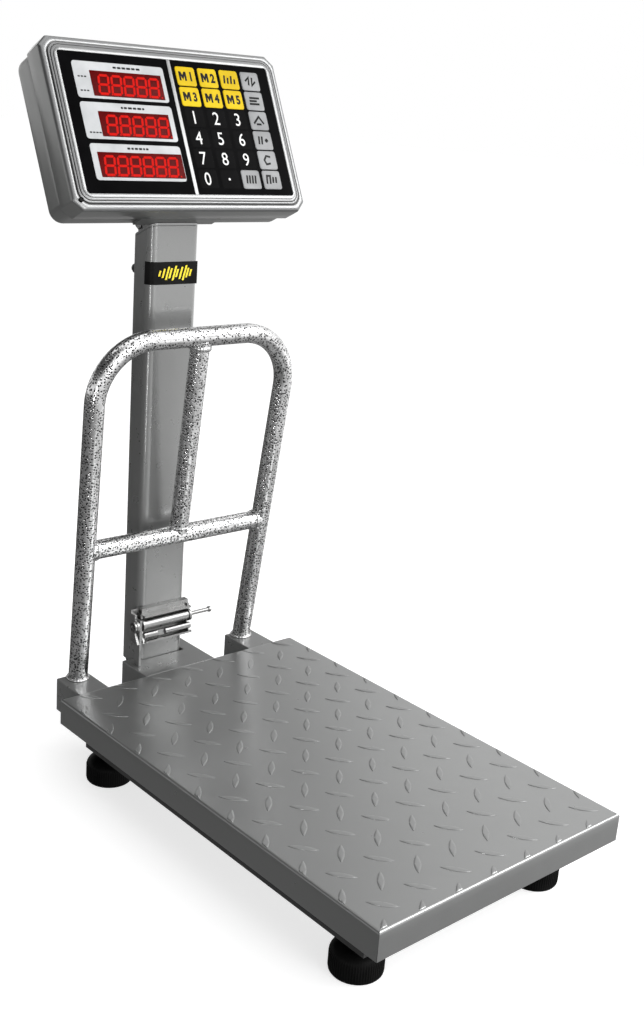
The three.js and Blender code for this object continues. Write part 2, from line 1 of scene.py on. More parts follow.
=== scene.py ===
"""The looks of a platform shipping scale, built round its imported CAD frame.

Lengths are in millimetres in the plan that the CAD part was drawn in: the origin is under the middle of the
platform, just above the floor, with +x to the right and +y towards the column. PLAN, POST and HEAD turn
them into the frame's metres.
"""

import json
import math
import random
from collections import namedtuple
from types import SimpleNamespace as Sizes

import bmesh
import bpy
import numpy as np
from mathutils import Matrix, Vector


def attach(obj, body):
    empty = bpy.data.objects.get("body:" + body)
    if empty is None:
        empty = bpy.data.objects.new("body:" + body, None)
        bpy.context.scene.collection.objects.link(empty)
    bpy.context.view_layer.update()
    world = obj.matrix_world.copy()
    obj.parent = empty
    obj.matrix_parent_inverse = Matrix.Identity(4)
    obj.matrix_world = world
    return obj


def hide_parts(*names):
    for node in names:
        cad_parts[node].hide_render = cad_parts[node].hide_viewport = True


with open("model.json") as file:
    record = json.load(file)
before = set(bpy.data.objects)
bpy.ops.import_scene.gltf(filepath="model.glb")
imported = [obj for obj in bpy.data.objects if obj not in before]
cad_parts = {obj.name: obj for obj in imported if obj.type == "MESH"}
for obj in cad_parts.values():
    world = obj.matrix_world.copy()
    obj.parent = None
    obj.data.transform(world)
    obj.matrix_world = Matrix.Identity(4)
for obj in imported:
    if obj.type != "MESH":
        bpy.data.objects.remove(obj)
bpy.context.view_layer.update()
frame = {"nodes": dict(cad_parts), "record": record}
BODIES = frame["record"]["behaviour"]["bodies"]

# ------------------------------------------------------------------ sizes, in millimetres
MM = 0.001
MIDDLE_Y = -61.4  # where the platform's middle lies in the frame
FLOOR = -2.5  # the floor's level in the plan

DECK = Sizes(half_width=150, half_length=233, top=81.7, skirt_bottom=54.5, bend=2.6, sheet=1.8)
TREAD = Sizes(pitch_x=41.9, pitch_y=47.8, x=-18.2, y=7.2, half_length=13.4, half_width=3.1,
              height=0.42)
RAIL = Sizes(radius=10, foot_x=107.5, top_x=115.5, foot_y=270.5, lean=math.radians(7.4),
             height=365, bend=60, crossbar=148, middle_x=1.2, base=80, sway=0.01)
EMBOSS = Sizes(pitch=3.4, depth=0.10)
COLUMN = Sizes(width=60, depth=34, corner=9, x=-1.5, y=291, bottom=74, wall=2)
FOOT = Sizes(radius=23.6, height=26.5, stud_top=40.5, x=112, front=-175, rear=199)
HEAD_PLACE = Sizes(y=273.5, z=637.8, angle=math.radians(25.6))
OVERLAY = Sizes(width=243.6, height=136.2)
KEY = Sizes(width=23, height=19.4, pitch_x=26.6, pitch_y=20.7, first_x=18, first_y=51.9,
            corner=2.6)
ROOM = Sizes(ground_left_low=0.20, ground_left_high=0.09, ground_right_low=0.36,
             ground_right_high=1.4, horizon=1.0, overhead_left=0.08, overhead_right=1.15)
DOME_RADIUS = 20000
CAMERA = Sizes(lens=45.61, place=(-0.7630, -0.8639, 0.6792),  # the place is in metres
               right=(0.7510424, -0.65620967, 0.07296702), up=(0.14878945, 0.27588294, 0.94960534),
               back=(-0.64327056, -0.70233715, 0.30483686))
LAMPS = (  # name, place, target, width and height in metres, and power in watts
    ("key", (2.3, -1.9, 2.3), (0, -0.1, 0.30), 2.0, 2.0, 75),
    ("front", (0.1, -2.5, 1.0), (0, 0.1, 0.45), 1.2, 1.2, 20),
    ("top", (-0.3, 0.6, 2.8), (0, 0, 0.2), 2.0, 2.0, 14),
    ("edge", (-1.25, -0.85, 0.12), (-0.03, 0.21, 0.5), 0.06, 0.5, 3.0),
)
TILT = Sizes(y=306, z=542)
PIVOT = Sizes(y=300, z=56)
LATCH = Sizes(y=264.5, z=125)

PLAN = Matrix.Translation((0, MIDDLE_Y * MM, -FLOOR * MM)) @ Matrix.Scale(MM, 4)
POST = PLAN @ Matrix.Translation((COLUMN.x, 0, 0))  # on the column's own middle line
HEAD = (
    PLAN
    @ Matrix.Translation((0, HEAD_PLACE.y, HEAD_PLACE.z))
    @ Matrix.Rotation(math.pi / 2 - HEAD_PLACE.angle, 4, "X")
)


# ------------------------------------------------------------------ node materials
def feed(tree, socket, value):
    """Links a socket to another one's output, or sets it to a plain value."""
    if isinstance(value, bpy.types.NodeSocket):
        tree.links.new(value, socket)
    else:
        socket.default_value = value


class Look:
    """A material round one Principled shader, with short calls for the nodes that feed it."""

    def __init__(self, **values):
        self.material = bpy.data.materials.new("look")
        self.material.use_nodes = True
        self.tree = self.material.node_tree
        self.shader = self.tree.nodes["Principled BSDF"]
        for key, value in values.items():
            socket = self.shader.inputs[key.replace("_", " ")]
            socket.default_value = (*value, 1) if isinstance(value, tuple) and len(value) == 3 else value
        self.coordinates = self.tree.nodes.new("ShaderNodeTexCoord").outputs["Object"]

    def node(self, kind, settings=None, **inputs):
        made = self.tree.nodes.new("ShaderNode" + kind)
        for key, value in (settings or {}).items():
            setattr(made, key, value)
        for key, value in inputs.items():
            socket = made.inputs[int(key[1:])] if key[0] == "i" and key[1:].isdigit() else made.inputs[key]
            feed(self.tree, socket, value)
        return made

    def stretched(self, x, y, z):
        return self.node("Mapping", Vector=self.coordinates, Scale=(x, y, z)).outputs[0]

    def noise(self, scale, detail, vector=None):
        vector = vector or self.coordinates
        made = self.node("TexNoise", Vector=vector, Scale=scale, Detail=detail, Roughness=0.55)
        return made.outputs["Fac"]

    def cells(self, scale, randomness):
        made = self.node("TexVoronoi", Vector=self.coordinates, Scale=scale, Randomness=randomness)
        return made.outputs["Distance"]

    def spread(self, fac, low, high, start=0.0, end=1.0):
        """fac from start..end mapped to low..high."""
        ends = {"From Min": start, "From Max": end, "To Min": low, "To Max": high}
        return self.node("MapRange", Value=fac, **ends).outputs[0]

    def blend(self, fac, first, second):
        made = self.tree.nodes.new("ShaderNodeMix")
        made.data_type = "RGBA"
        self.tree.links.new(fac, made.inputs[0])
        for socket, value in ((made.inputs[6], first), (made.inputs[7], second)):
            feed(self.tree, socket, (*value, 1) if isinstance(value, tuple) else value)
        return made.outputs[2]

    def sum(self, first, second):
        return self.node("Math", {"operation": "ADD"}, i0=first, i1=second).outputs[0]

    def drive(self, name, value):
        self.tree.links.new(value, self.shader.inputs[name])

    def bump(self, height, distance, strength):
        made = self.node("Bump", Height=height, Distance=distance, Strength=strength)
        self.drive("Normal", made.outputs[0])


def paint(dark, light, roughness=0.3, metallic=0.55, coat=0.6, peel=1.0, coat_roughness=0.06):
    """Sprayed metallic paint: fine flake, slow variation of tone, and a slight orange peel."""
    look = Look(Metallic=metallic, Coat_Weight=coat, Coat_Roughness=coat_roughness)
    flake = look.noise(2600, 2)
    slow = look.noise(9, 4)
    tone = look.sum(look.spread(flake, 0.0, 0.7), look.spread(slow, 0.0, 0.3))
    look.drive("Base Color", look.blend(tone, dark, light))
    look.drive("Roughness", look.spread(look.noise(60, 5), roughness - 0.05, roughness + 0.07))
    peel_height = look.sum(look.noise(240, 2), look.spread(look.noise(26, 2), 0.0, 3.0))
    look.bump(peel_height, 0.00003 * peel, 0.6)
    return look.material


def metal(dark, light, roughness, grain=(900, 60, 900), bump=0.00003):
    """Bare or plated metal with drawn grain, stains and an uneven polish."""
    look = Look(Metallic=1.0)
    lines = look.noise(1.0, 4, vector=look.stretched(*grain))
    stain = look.noise(70, 5)
    tone = look.sum(look.spread(lines, 0, 0.5), look.spread(stain, 0, 0.5))
    look.drive("Base Color", look.blend(tone, dark, light))
    look.drive("Roughness", look.spread(stain, roughness - 0.08, roughness + 0.12, 0.3, 0.7))
    look.bump(lines, bump, 0.5)
    return look.material


def plastic(dark, light, roughness, grain=1500, bump=0.00004, coat=0.0, specular=0.4):
    """Moulded plastic or rubber with a fine grain and a faint mottle."""
    look = Look(Coat_Weight=coat, Coat_Roughness=0.05, Specular_IOR_Level=specular)
    fine = look.noise(grain, 3)
    mottled = look.noise(40, 4)
    look.drive("Base Color", look.blend(look.spread(mottled, 0, 1, 0.3, 0.7), dark, light))
    look.drive("Roughness", look.spread(fine, roughness - 0.05, roughness + 0.08, 0.3, 0.7))
    look.bump(fine, bump, 0.6)
    return look.material


def hammered_chrome():
    """Chrome over an embossed tube: small pits painted dark as shade, between bright lands."""
    look = Look(Metallic=1.0)
    lands_and_pit_shade = look.spread(look.cells(400, 0.8), 0.0, 1.0, 0.28, 0.50)
    worn = look.noise(120, 4)
    tone = look.blend(look.spread(worn, 0, 1, 0.35, 0.65), (0.66, 0.66, 0.66), (0.88, 0.88, 0.885))
    # Painted shade: the chrome is made near-black where the pits lie, standing for the shade and dark
    # reflections in the hollows.
    look.drive("Base Color", look.blend(lands_and_pit_shade, (0.03, 0.03, 0.03), tone))
    look.drive("Roughness", look.spread(worn, 0.16, 0.24, 0.3, 0.7))
    look.bump(look.sum(lands_and_pit_shade, look.spread(look.noise(900, 2), 0, 0.2)), 0.00016, 0.8)
    return look.material


def lit_segment(colour, strength):
    """A lit bar of a digit, slightly uneven."""
    look = Look(Roughness=0.4, Emission_Strength=strength, Specular_IOR_Level=0.02)
    glow = look.noise(420, 2)
    shade = look.blend(look.spread(glow, 0, 1, 0.3, 0.7), tuple(0.72 * c for c in colour), colour)
    look.shader.inputs["Base Color"].default_value = (0.20, 0.003, 0.002, 1)
    look.drive("Emission Color", shade)
    return look.material


def plain_white():
    """The backdrop's even white."""
    look = Look(Roughness=1.0, Emission_Strength=1.0, Specular_IOR_Level=0.0)
    look.shader.inputs["Base Color"].default_value = (0, 0, 0, 1)
    look.shader.inputs["Emission Color"].default_value = (1, 1, 1, 1)
    return look.material


def window_filter():
    """Dark red acrylic that glows a little round the lit digits."""
    look = Look(Emission_Strength=0.45, Specular_IOR_Level=0.03)
    haze = look.noise(45, 3)
    shade = look.blend(look.spread(haze, 0, 1, 0.35, 0.65), (0.05, 0.0004, 0.0005), (0.15, 0.0008, 0.0010))
    look.shader.inputs["Base Color"].default_value = (0.06, 0.001, 0.001, 1)
    look.drive("Emission Color", shade)
    look.drive("Roughness", look.spread(look.noise(300, 2), 0.22, 0.34))
    look.bump(look.noise(900, 2), 0.00001, 0.4)
    return look.material


def studio_floor():
    """A white sheet that is lit by the lamps near the object and fades to an even white further off."""
    look = Look(Roughness=0.8, Specular_IOR_Level=0.1)
    distance = look.node("VectorMath", {"operation": "LENGTH"}, i0=look.coordinates).outputs["Value"]
    far = look.spread(distance, 0.0, 1.0, 0.9, 3.2)
    weave = look.noise(300, 3)
    near = look.blend(weave, (0.56, 0.56, 0.56), (0.60, 0.60, 0.60))
    look.drive("Base Color", look.blend(far, near, (0.02, 0.02, 0.02)))
    look.shader.inputs["Emission Color"].default_value = (1, 1, 1, 1)
    look.drive("Emission Strength", look.spread(far, 0.72, 1.0))
    look.bump(weave, 0.00002, 0.3)
    return look.material


def grey(level):
    return (level, level, level)


LOOKS = {
    "silver_paint": paint((0.19, 0.192, 0.19), (0.28, 0.283, 0.281), 0.28),
    "deck_paint": paint((0.25, 0.253, 0.251), (0.35, 0.353, 0.352), 0.29, 0.8, 0.2, 0.2, 0.22),
    "head_paint": paint((0.20, 0.203, 0.20), (0.29, 0.293, 0.29), 0.33),
    "bezel": paint((0.20, 0.202, 0.202), (0.26, 0.263, 0.265), 0.34, 0.9, 0.1, 0.03),
    # Painted shade: a darker copy of the bezel paint for the grooves between its steps, standing for the
    # shade that falls in them.
    "bezel_groove_shade": paint(grey(0.05), grey(0.09), 0.34, 0.6, 0, 0.03),
    "frame_steel": paint(grey(0.030), grey(0.055), 0.42, 0.3, 0.2),
    "chrome": hammered_chrome(),
    "weld": metal(grey(0.34), grey(0.85), 0.20, (300, 300, 300), 0.0002),
    "zinc": metal(grey(0.15), (0.46, 0.46, 0.455), 0.30, (60, 900, 900)),
    "aluminium": metal((0.55, 0.55, 0.57), (0.74, 0.74, 0.76), 0.30),
    "rubber": plastic(grey(0.002), grey(0.007), 0.42, 1200, 0.00006, specular=0.05),
    "black_plastic": plastic(grey(0.010), grey(0.022), 0.38),
    "overlay": plastic((0.0014, 0.0014, 0.0016), (0.0028, 0.0028, 0.0032), 0.36, 2400, 0.00001,
                       specular=0.012),
    "print_silver": plastic((0.40, 0.41, 0.42), (0.52, 0.53, 0.54), 0.38, 1800, 0.00001, specular=0.2),
    "print_white": plastic(grey(0.70), grey(0.84), 0.42, 1800, 0.00001, specular=0.2),
    "print_black": plastic(grey(0.004), grey(0.010), 0.40, 1800, 0.00001, specular=0.08),
    "key_yellow": plastic((0.54, 0.37, 0.003), (0.68, 0.48, 0.005), 0.40, 1600, 0.00002, specular=0.08),
    "key_grey": plastic((0.20, 0.204, 0.208), (0.28, 0.285, 0.29), 0.36, 1600, 0.00002, specular=0.3),
    "key_black": plastic((0.0016, 0.0016, 0.0018), (0.0032, 0.0032, 0.0036), 0.34, 2400, 0.00001,
                         specular=0.016),
    "band_yellow": plastic((0.80, 0.62, 0.01), (0.95, 0.80, 0.03), 0.34, 1600, 0.00001, 0.2),
    "window": window_filter(),
    "backdrop": plain_white(),
    "segment": lit_segment((0.84, 0.010, 0.005), 0.66),
    "board": plastic((0.012, 0.09, 0.03), (0.02, 0.14, 0.05), 0.32, 900, 0.00003, 0.3),
    "floor": studio_floor(),
}
for name, material in LOOKS.items():
    material.name = name


# ------------------------------------------------------------------ meshes
class Shape:
    """Vertices and faces, with a material number for each face."""

    def __init__(self):
        self.verts = []
        self.faces = []
        self.marks = []

    def add(self, verts, faces, mark=0):
        first = len(self.verts)
        self.verts.extend(tuple(v) for v in verts)
        self.faces.extend([i + first for i in face] for face in faces)
        self.marks.extend([mark] * len(faces))

    def loft(self, rings, mark=0, caps=(True, True), marks=None):
        """Closed rings of equal length joined one to the next, the first and last capped."""
        count = len(rings[0])
        first = len(self.verts)
        self.verts.extend(tuple(point) for ring in rings for point in ring)
        for row in range(len(rings) - 1):
            low = first + row * count
            high = low + count
            for i in range(count):
                j = (i + 1) % count
                self.faces.append([low + i, low + j, high + j, high + i])
            self.marks.extend([marks[row] if marks else mark] * count)
        if caps[0]:
            self.faces.append([first + i for i in reversed(range(count))])
            self.marks.append(marks[0] if marks else mark)
        if caps[1]:
            last = first + (len(rings) - 1) * count
            self.faces.append([last + i for i in range(count)])
            self.marks.append(marks[-1] if marks else mark)

    def plate(self, outline, z0, z1, bevel=0.0, mark=0, crown=0.0, centre=(0, 0)):
        """A flat piece with a rounded upper edge; outline is a list of x, y points, counterclockwise."""
        levels = [(0, z0)]
        if bevel:
            levels += [(bevel * (1 - math.cos(a)), z1 - bevel + bevel * math.sin(a))
                       for a in (0, math.pi / 6, math.pi / 3, math.pi / 2)]
        else:
            levels += [(0, z1)]
        rings = [[(x + centre[0], y + centre[1], z) for x, y in inset(outline, d)] for d, z in levels]
        for scale, lift in ((0.8, 0.5), (0.5, 0.9), (0.2, 1.0)) if crown else ():
            z = z1 + lift * crown
            rings.append([(x * scale + centre[0], y * scale + centre[1], z) for x, y in outline])
        self.loft(rings, mark)

    def mesh(self, name, matrix):
        made = bpy.data.meshes.new(name)
        made.from_pydata([tuple(matrix @ Vector(v)) for v in self.verts], [], self.faces)
        return made

    def build(self, name, matrix, looks, body=None, replaces=(), sharp=32):
        mesh = self.mesh(name, matrix)
        mesh.polygons.foreach_set("material_index", self.marks)
        for look in looks:
            mesh.materials.append(LOOKS[look])
        return settle(mesh, name, body, replaces, sharp)


def placed(name, data):
    """An object of its own for some data, linked to the scene."""
    made = bpy.data.objects.new(name, data)
    bpy.context.scene.collection.objects.link(made)
    return made


def baked(piece):
    """A plain mesh of an object as it shows, modifiers and all."""
    bpy.context.view_layer.update()
    return bpy.data.meshes.new_from_object(piece.evaluated_get(bpy.context.evaluated_depsgraph_get()))


def settle(mesh, name, body, replaces, sharp, bevel=0.0):
    """Turns a mesh into a piece that rides on a body."""
    bm = bmesh.new()
    bm.from_mesh(mesh)
    bmesh.ops.remove_doubles(bm, verts=bm.verts, dist=1e-7)
    bmesh.ops.dissolve_degenerate(bm, edges=bm.edges, dist=1e-7)
    bmesh.ops.recalc_face_normals(bm, faces=bm.faces)
    bm.to_mesh(mesh)
    bm.free()
    mesh.shade_smooth()
    mesh.set_sharp_from_angle(angle=math.radians(sharp))
    piece = placed(name, mesh)
    if bevel:
        edge = piece.modifiers.new("edge", "BEVEL")
        edge.width = bevel * MM
        edge.segments = 3
        edge.limit_method = "ANGLE"
        edge.angle_limit = math.radians(30)
        edge.harden_normals = True
    if body:
        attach(piece, body)
    if replaces:
        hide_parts(*replaces)
    return piece


def refined(node, name, look, bevel):
    """A copy of a CAD node with its flat faces joined up and its edges rounded."""
    mesh = frame["nodes"][node].data.copy()
    mesh.name = name
    mesh.materials.clear()
    mesh.materials.append(LOOKS[look])
    bm = bmesh.new()
    bm.from_mesh(mesh)
    bmesh.ops.remove_doubles(bm, verts=bm.verts, dist=1e-6)
    bmesh.ops.dissolve_limit(bm, angle_limit=math.radians(1), verts=bm.verts, edges=bm.edges)
    for face in bm.faces:
        face.material_index = 0
    bm.to_mesh(mesh)
    bm.free()
    if mesh.has_custom_normals:
        mesh.attributes.remove(mesh.attributes["custom_normal"])
    body = next(b for b, nodes in BODIES.items() if node in nodes)
    return settle(mesh, name, body, (node,), 32, bevel)


def inset(outline, distance):
    """The outline moved inwards by a distance, by the mean of its neighbouring edges' normals."""
    if not distance:
        return list(outline)
    moved = []
    count = len(outline)
    for i in range(count):
        before, here, after = (Vector(outline[(i + k) % count]) for k in (-1, 0, 1))
        first = (here - before).normalized()
        second = (after - here).normalized()
        normal = Vector((-first.y - second.y, first.x + second.x))
        scale = distance / max(0.3, 1 + first.dot(second)) if normal.length > 1e-6 else 0
        moved.append(tuple(here + normal * scale))
    return moved


def rounded(width, height, radius, steps=6):
    points = []
    for corner, (sx, sy) in enumerate(((1, 1), (-1, 1), (-1, -1), (1, -1))):
        cx, cy = sx * (width / 2 - radius), sy * (height / 2 - radius)
        for k in range(steps + 1):
            angle = math.pi / 2 * (corner + k / steps)
            points.append((cx + radius * math.cos(angle), cy + radius * math.sin(angle)))
    return points


def cut_corners(half_width, half_height, chamfer, fillet, steps=3):
    """A rectangle with 45 degree corners, each of its eight vertices rounded."""
    c = chamfer
    raw = []
    for sx, sy in ((1, 1), (-1, 1), (-1, -1), (1, -1)):
        pair = [(sx * half_width, sy * (half_height - c)), (sx * (half_width - c), sy * half_height)]
        raw += pair if sx * sy > 0 else pair[::-1]
    points = []
    for i, here in enumerate(raw):
        here = Vector(here)
        before = (Vector(raw[i - 1]) - here).normalized()
        after = (Vector(raw[(i + 1) % 8]) - here).normalized()
        reach = fillet * math.tan(math.pi / 8)
        start, end = here + before * reach, here + after * reach
        for k in range(steps + 1):
            t = k / steps
            points.append(tuple((1 - t) ** 2 * start + 2 * t * (1 - t) * here + t * t * end))
    return points


def circle(radius, count):
    angles = (2 * math.pi * i / count for i in range(count))
    return [(radius * math.cos(a), radius * math.sin(a)) for a in angles]


def turned(shape, profile, count, place, radius_of=lambda r, height, angle: r):
    """A lathe: profile is radius, height pairs; place is a matrix whose z is the axis."""
    rings = []
    for radius, height in profile:
        ring = []
        for i in range(count):
            angle = 2 * math.pi * i / count
            r = radius_of(max(radius, 0.01), height, angle)
            ring.append(place @ Vector((r * math.cos(angle), r * math.sin(angle), height)))
        rings.append(ring)
    shape.loft(rings)


def along_x(x, y, z):
    """A place whose z axis points along +x."""
    return Matrix.Translation((x, y, z)) @ Matrix.Rotation(math.pi / 2, 4, "Y")


def carry(node, look):
    """Gives a CAD node that stays as it is its material."""
    piece = frame["nodes"][node]
    for socket in piece.material_slots:
        socket.material = LOOKS[look]


# ------------------------------------------------------------------ tread-plate cover
def deck():
    shape = Shape()
    half_w, half_l, bend = DECK.half_width, DECK.half_length, DECK.bend
    top, sheet, low = DECK.top, DECK.sheet, DECK.skirt_bottom
    seam = 0.28
    outer = [(bend * math.sin(a), top - bend * (1 - math.cos(a)))
             for a in (math.pi / 2 * k / 6 for k in range(7))]
    outer += [(bend, top - 9), (bend, low + 0.5), (bend - 0.4, low)]
    inner_bend = bend - sheet
    inner = [(bend - sheet + 0.3, low), (bend - sheet, low + 0.4)]
    inner += [(inner_bend * math.sin(a), top - sheet - inner_bend * (1 - math.cos(a)))
              for a in (math.pi / 2 * k / 3 for k in range(3, -1, -1))]
    profile = outer + inner
    for turn in range(4):
        across = half_l if turn % 2 else half_w
        along = half_w if turn % 2 else half_l
        rotation = Matrix.Rotation(turn * math.pi / 2, 3, "Z")
        strip = []
        for end in (-1, 1):
            for offset, z in profile:
                opening = seam * min(1.0, offset / 1.2)
                reach = along - bend + offset - opening
                strip.append(rotation @ Vector((across - bend + offset, end * reach, z)))
        count = len(profile)
        faces = [[i, i + 1, count + i + 1, count + i] for i in range(count - 1)]
        faces += [list(range(count)), list(range(2 * count - 1, count - 1, -1))]
        shape.add(strip, faces)
    corners = [(half_w - bend, half_l - bend), (-half_w + bend, half_l - bend),
               (-half_w + bend, -half_l + bend), (half_w - bend, -half_l + bend)]
    shape.add([(x, y, top) for x, y in corners], [[0, 1, 2, 3]])
    shape.add([(x, y, top - sheet) for x, y in corners], [[3, 2, 1, 0]])
    shape.build("deck_sheet", PLAN, ["deck_paint"], "cover", ("cover_plate",), 30)


def tread_bar(x, y, slope):
    """One lens-shaped bar with steep sides and a nearly flat top."""
    length, width, height = TREAD.half_length, TREAD.half_width, TREAD.height
    direction = Vector((math.cos(slope), math.sin(slope)))
    across = Vector((-direction.y, direction.x))
    levels = ((1.0, -0.5), (1.0, -0.06), (0.985, 0.5), (0.955, 0.88), (0.92, 1.0), (0.5, 1.03), (0.15, 1.03))
    rings = []
    steps = 10
    for scale, level in levels:
        ring = []
        for side in (1, -1):
            for k in range(steps):
                u = side * (1 - 2 * k / steps)
                v = side * (1 - u * u) ** 0.9
                point = Vector((x, y)) + direction * (u * length * scale) + across * (v * width * scale)
                ring.append((point.x, point.y, DECK.top + level * height))
        rings.append(ring)
    return rings


def tread():
    """The plate's raised bars, cut off where the sheet starts to bend."""
    shape = Shape()
    limit_x = DECK.half_width - DECK.bend
    limit_y = DECK.half_length - DECK.bend
    slope = math.atan2(TREAD.pitch_y, TREAD.pitch_x)
    for half in (0, 1):
        for i in range(-5, 6):
            for j in range(-6, 7):
                x = TREAD.x + TREAD.pitch_x * (i + half / 2)
                y = TREAD.y + TREAD.pitch_y * (j + half / 2)
                if abs(x) < limit_x + 7 and abs(y) < limit_y + 8:
                    shape.loft(tread_bar(x, y, slope if half == 0 else -slope))
    piece = shape.build("deck_tread_bars", PLAN, ["deck_paint"], "cover", (), 24)
    bm = bmesh.new()
    bm.from_mesh(piece.data)
    sides = (((1, 0, 0), limit_x), ((-1, 0, 0), limit_x), ((0, 1, 0), limit_y), ((0, -1, 0), limit_y))
    for normal, reach in sides:
        point = PLAN @ (Vector(normal) * reach)
        parts = bm.verts[:] + bm.edges[:] + bm.faces[:]
        cut = bmesh.ops.bisect_plane(bm, geom=parts, plane_co=point, plane_no=normal, clear_outer=True)
        edges = [e for e in cut["geom_cut"] if isinstance(e, bmesh.types.BMEdge)]
        bmesh.ops.holes_fill(bm, edges=edges)
    bm.to_mesh(piece.data)
    bm.free()


# ------------------------------------------------------------------ goods rail
def on_rail(x, up):
    y = RAIL.foot_y - up * math.sin(RAIL.lean)
    return Vector((x - up * RAIL.sway, y, RAIL.base + up * math.cos(RAIL.lean)))


def hoop_path(step):
    """Points along the hoop at an even spacing."""
    bend_x, bend, height = RAIL.top_x - RAIL.bend, RAIL.bend, RAIL.height
    corners = [on_rail(-RAIL.foot_x, 0), on_rail(-RAIL.top_x, height - bend)]
    corners += [on_rail(-bend_x - bend * math.cos(a), height - bend + bend * math.sin(a))
                for a in (math.pi / 2 * k / 48 for k in range(1, 49))]
    corners += [on_rail(bend_x + bend * math.sin(a), height - bend + bend * math.cos(a))
                for a in (math.pi / 2 * k / 48 for k in range(0, 49))]
    corners += [on_rail(RAIL.foot_x, 0)]
    return spaced(corners, step)


def spaced(corners, step):
    lengths = [0.0]
    for a, b in zip(corners, corners[1:]):
        lengths.append(lengths[-1] + (b - a).length)
    count = round(lengths[-1] / step)
    points = []
    k = 0
    for i in range(count + 1):
        want = lengths[-1] * i / count
        while k < len(lengths) - 2 and lengths[k + 1] < want:
            k += 1
        share = (want - lengths[k]) / (lengths[k + 1] - lengths[k])
        points.append(corners[k].lerp(corners[k + 1], share))
    return points


def dimples(length, girth, pitch, seed):
    """Depths of an embossed pattern over a tube's surface: jittered pits, periodic round the tube."""
    rng = np.random.default_rng(seed)
    rows, columns = int(length / pitch) + 1, max(8, round(girth / pitch))
    jitter = rng.uniform(-0.33, 0.33, (rows + 2, columns, 2))

    def depth(s, t):
        row = np.floor(s / pitch).astype(int)
        column = np.floor(t / girth * columns).astype(int)
        nearest = np.full(s.shape, 9.0)
        for dr in (-1, 0, 1):
            for dc in (-1, 0, 1):
                r = np.clip(row + dr, 0, rows + 1)
                c = (column + dc) % columns
                stagger = 0.5 * ((row + dr) % 2)
                ds = s / pitch - (row + dr + 0.5 + jitter[r, c, 0])
                dt = t / girth * columns - (column + dc + stagger + 0.25 + jitter[r, c, 1])
                nearest = np.minimum(nearest, ds * ds + dt * dt)
        return -np.exp(-nearest / 0.10)

    return depth


def tube(shape, points, radius, sides, seed):
    """A round bar along points, its surface embossed with shallow pits."""
    tangents = []
    for i in range(len(points)):
        a, b = points[max(0, i - 1)], points[min(len(points) - 1, i + 1)]
        tangents.append((b - a).normalized())
    side = tangents[0].orthogonal().normalized()
    if abs(tangents[0].x) < 0.9:
        side = Vector((1, 0, 0)) - tangents[0] * tangents[0].x
        side.normalize()
    step = (points[1] - points[0]).length
    length = step * (len(points) - 1)
    girth = 2 * math.pi * radius
    depth = dimples(length, girth, EMBOSS.pitch, seed)
    angles = np.arange(sides) * 2 * math.pi / sides
    rings = []
    for i, (point, tangent) in enumerate(zip(points, tangents)):
        side = (side - tangent * side.dot(tangent)).normalized()
        other = tangent.cross(side)
        s = np.full(sides, i * step)
        t = angles * radius
        radii = radius + EMBOSS.depth * depth(s, t)
        ring = [point + side * (r * math.cos(a)) + other * (r * math.sin(a)) for r, a in zip(radii, angles)]
        rings.append(ring)
    shape.loft(rings)


def bead(shape, centre, axis, radius, thickness, seed, squash=1.0):
    """A ring of overlapping weld lumps round a joint."""
    rng = random.Random(seed)
    axis = Vector(axis).normalized()
    side = axis.orthogonal().normalized()
    other = axis.cross(side)
    count, lumps = 96, 22
    phase = rng.random() * 6
    rings = []
    for i in range(count):
        angle = 2 * math.pi * i / count
        out = side * math.cos(angle) + other * math.sin(angle)
        lump = 0.82 + 0.18 * abs(math.sin(lumps * angle / 2 + phase)) + 0.07 * math.sin(3 * angle + phase)
        rings.append([
            centre + out * (radius + thickness * lump * math.cos(b))
            + axis * (thickness * squash * lump * math.sin(b))
            for b in (2 * math.pi * k / 10 for k in range(10))
        ])
    shape.loft(rings + [rings[0]], caps=(False, False))


def rails():
    radius, crossbar, height = RAIL.radius, RAIL.crossbar, RAIL.height
    step, sides = ((1.15, 56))
    spread = (RAIL.top_x - RAIL.foot_x) * crossbar / (height - RAIL.bend)
    reach = RAIL.foot_x + spread - 4
    across = [on_rail(-reach, crossbar), on_rail(reach, crossbar)]
    upright = [on_rail(RAIL.middle_x, crossbar + 4), on_rail(RAIL.middle_x, height - 4)]
    for node, name, path, thickness, seed in (
        ("rail_hoop", "rail_hoop_tube", hoop_path(step), radius, 11),
        ("rail_crossbar", "rail_crossbar_tube", spaced(across, step), radius - 0.2, 12),
        ("rail_middle_bar", "rail_middle_tube", spaced(upright, step), radius - 0.2, 13),
    ):
        bar = Shape()
        tube(bar, path, thickness, sides, seed)
        bar.build(name, PLAN, ["chrome"], "base", (node,), 80)

    welds = Shape()
    up = on_rail(0, 1) - on_rail(0, 0)
    for k, side in enumerate((-1, 1)):
        foot = on_rail(side * RAIL.foot_x, 0) + Vector((0, 0, 0.9))
        bead(welds, foot, (0, 0, 1), radius + 0.6, 1.9, 20 + k)
        joint = on_rail(side * (reach + 4 - radius - 0.3), crossbar)
        bead(welds, joint, (1, 0, 0), radius - 0.2, 1.3, 30 + k)
    bottom = on_rail(RAIL.middle_x, crossbar) + up * (radius + 0.2)
    bead(welds, bottom, up, radius - 0.2, 1.4, 40)
    top = on_rail(RAIL.middle_x, height) - up * (radius + 0.4)
    bead(welds, top, up, radius + 0.2, 1.8, 41, squash=1.6)
    welds.build("rail_weld_beads", PLAN, ["weld"], "base", (), 80)


# ------------------------------------------------------------------ column
def head_underside(y, level):
    """Height in the plan of the plane that lies level millimetres up the head's own face axis."""
    angle = HEAD_PLACE.angle
    return HEAD_PLACE.z + (level - (y - HEAD_PLACE.y) * math.sin(angle)) / math.cos(angle)


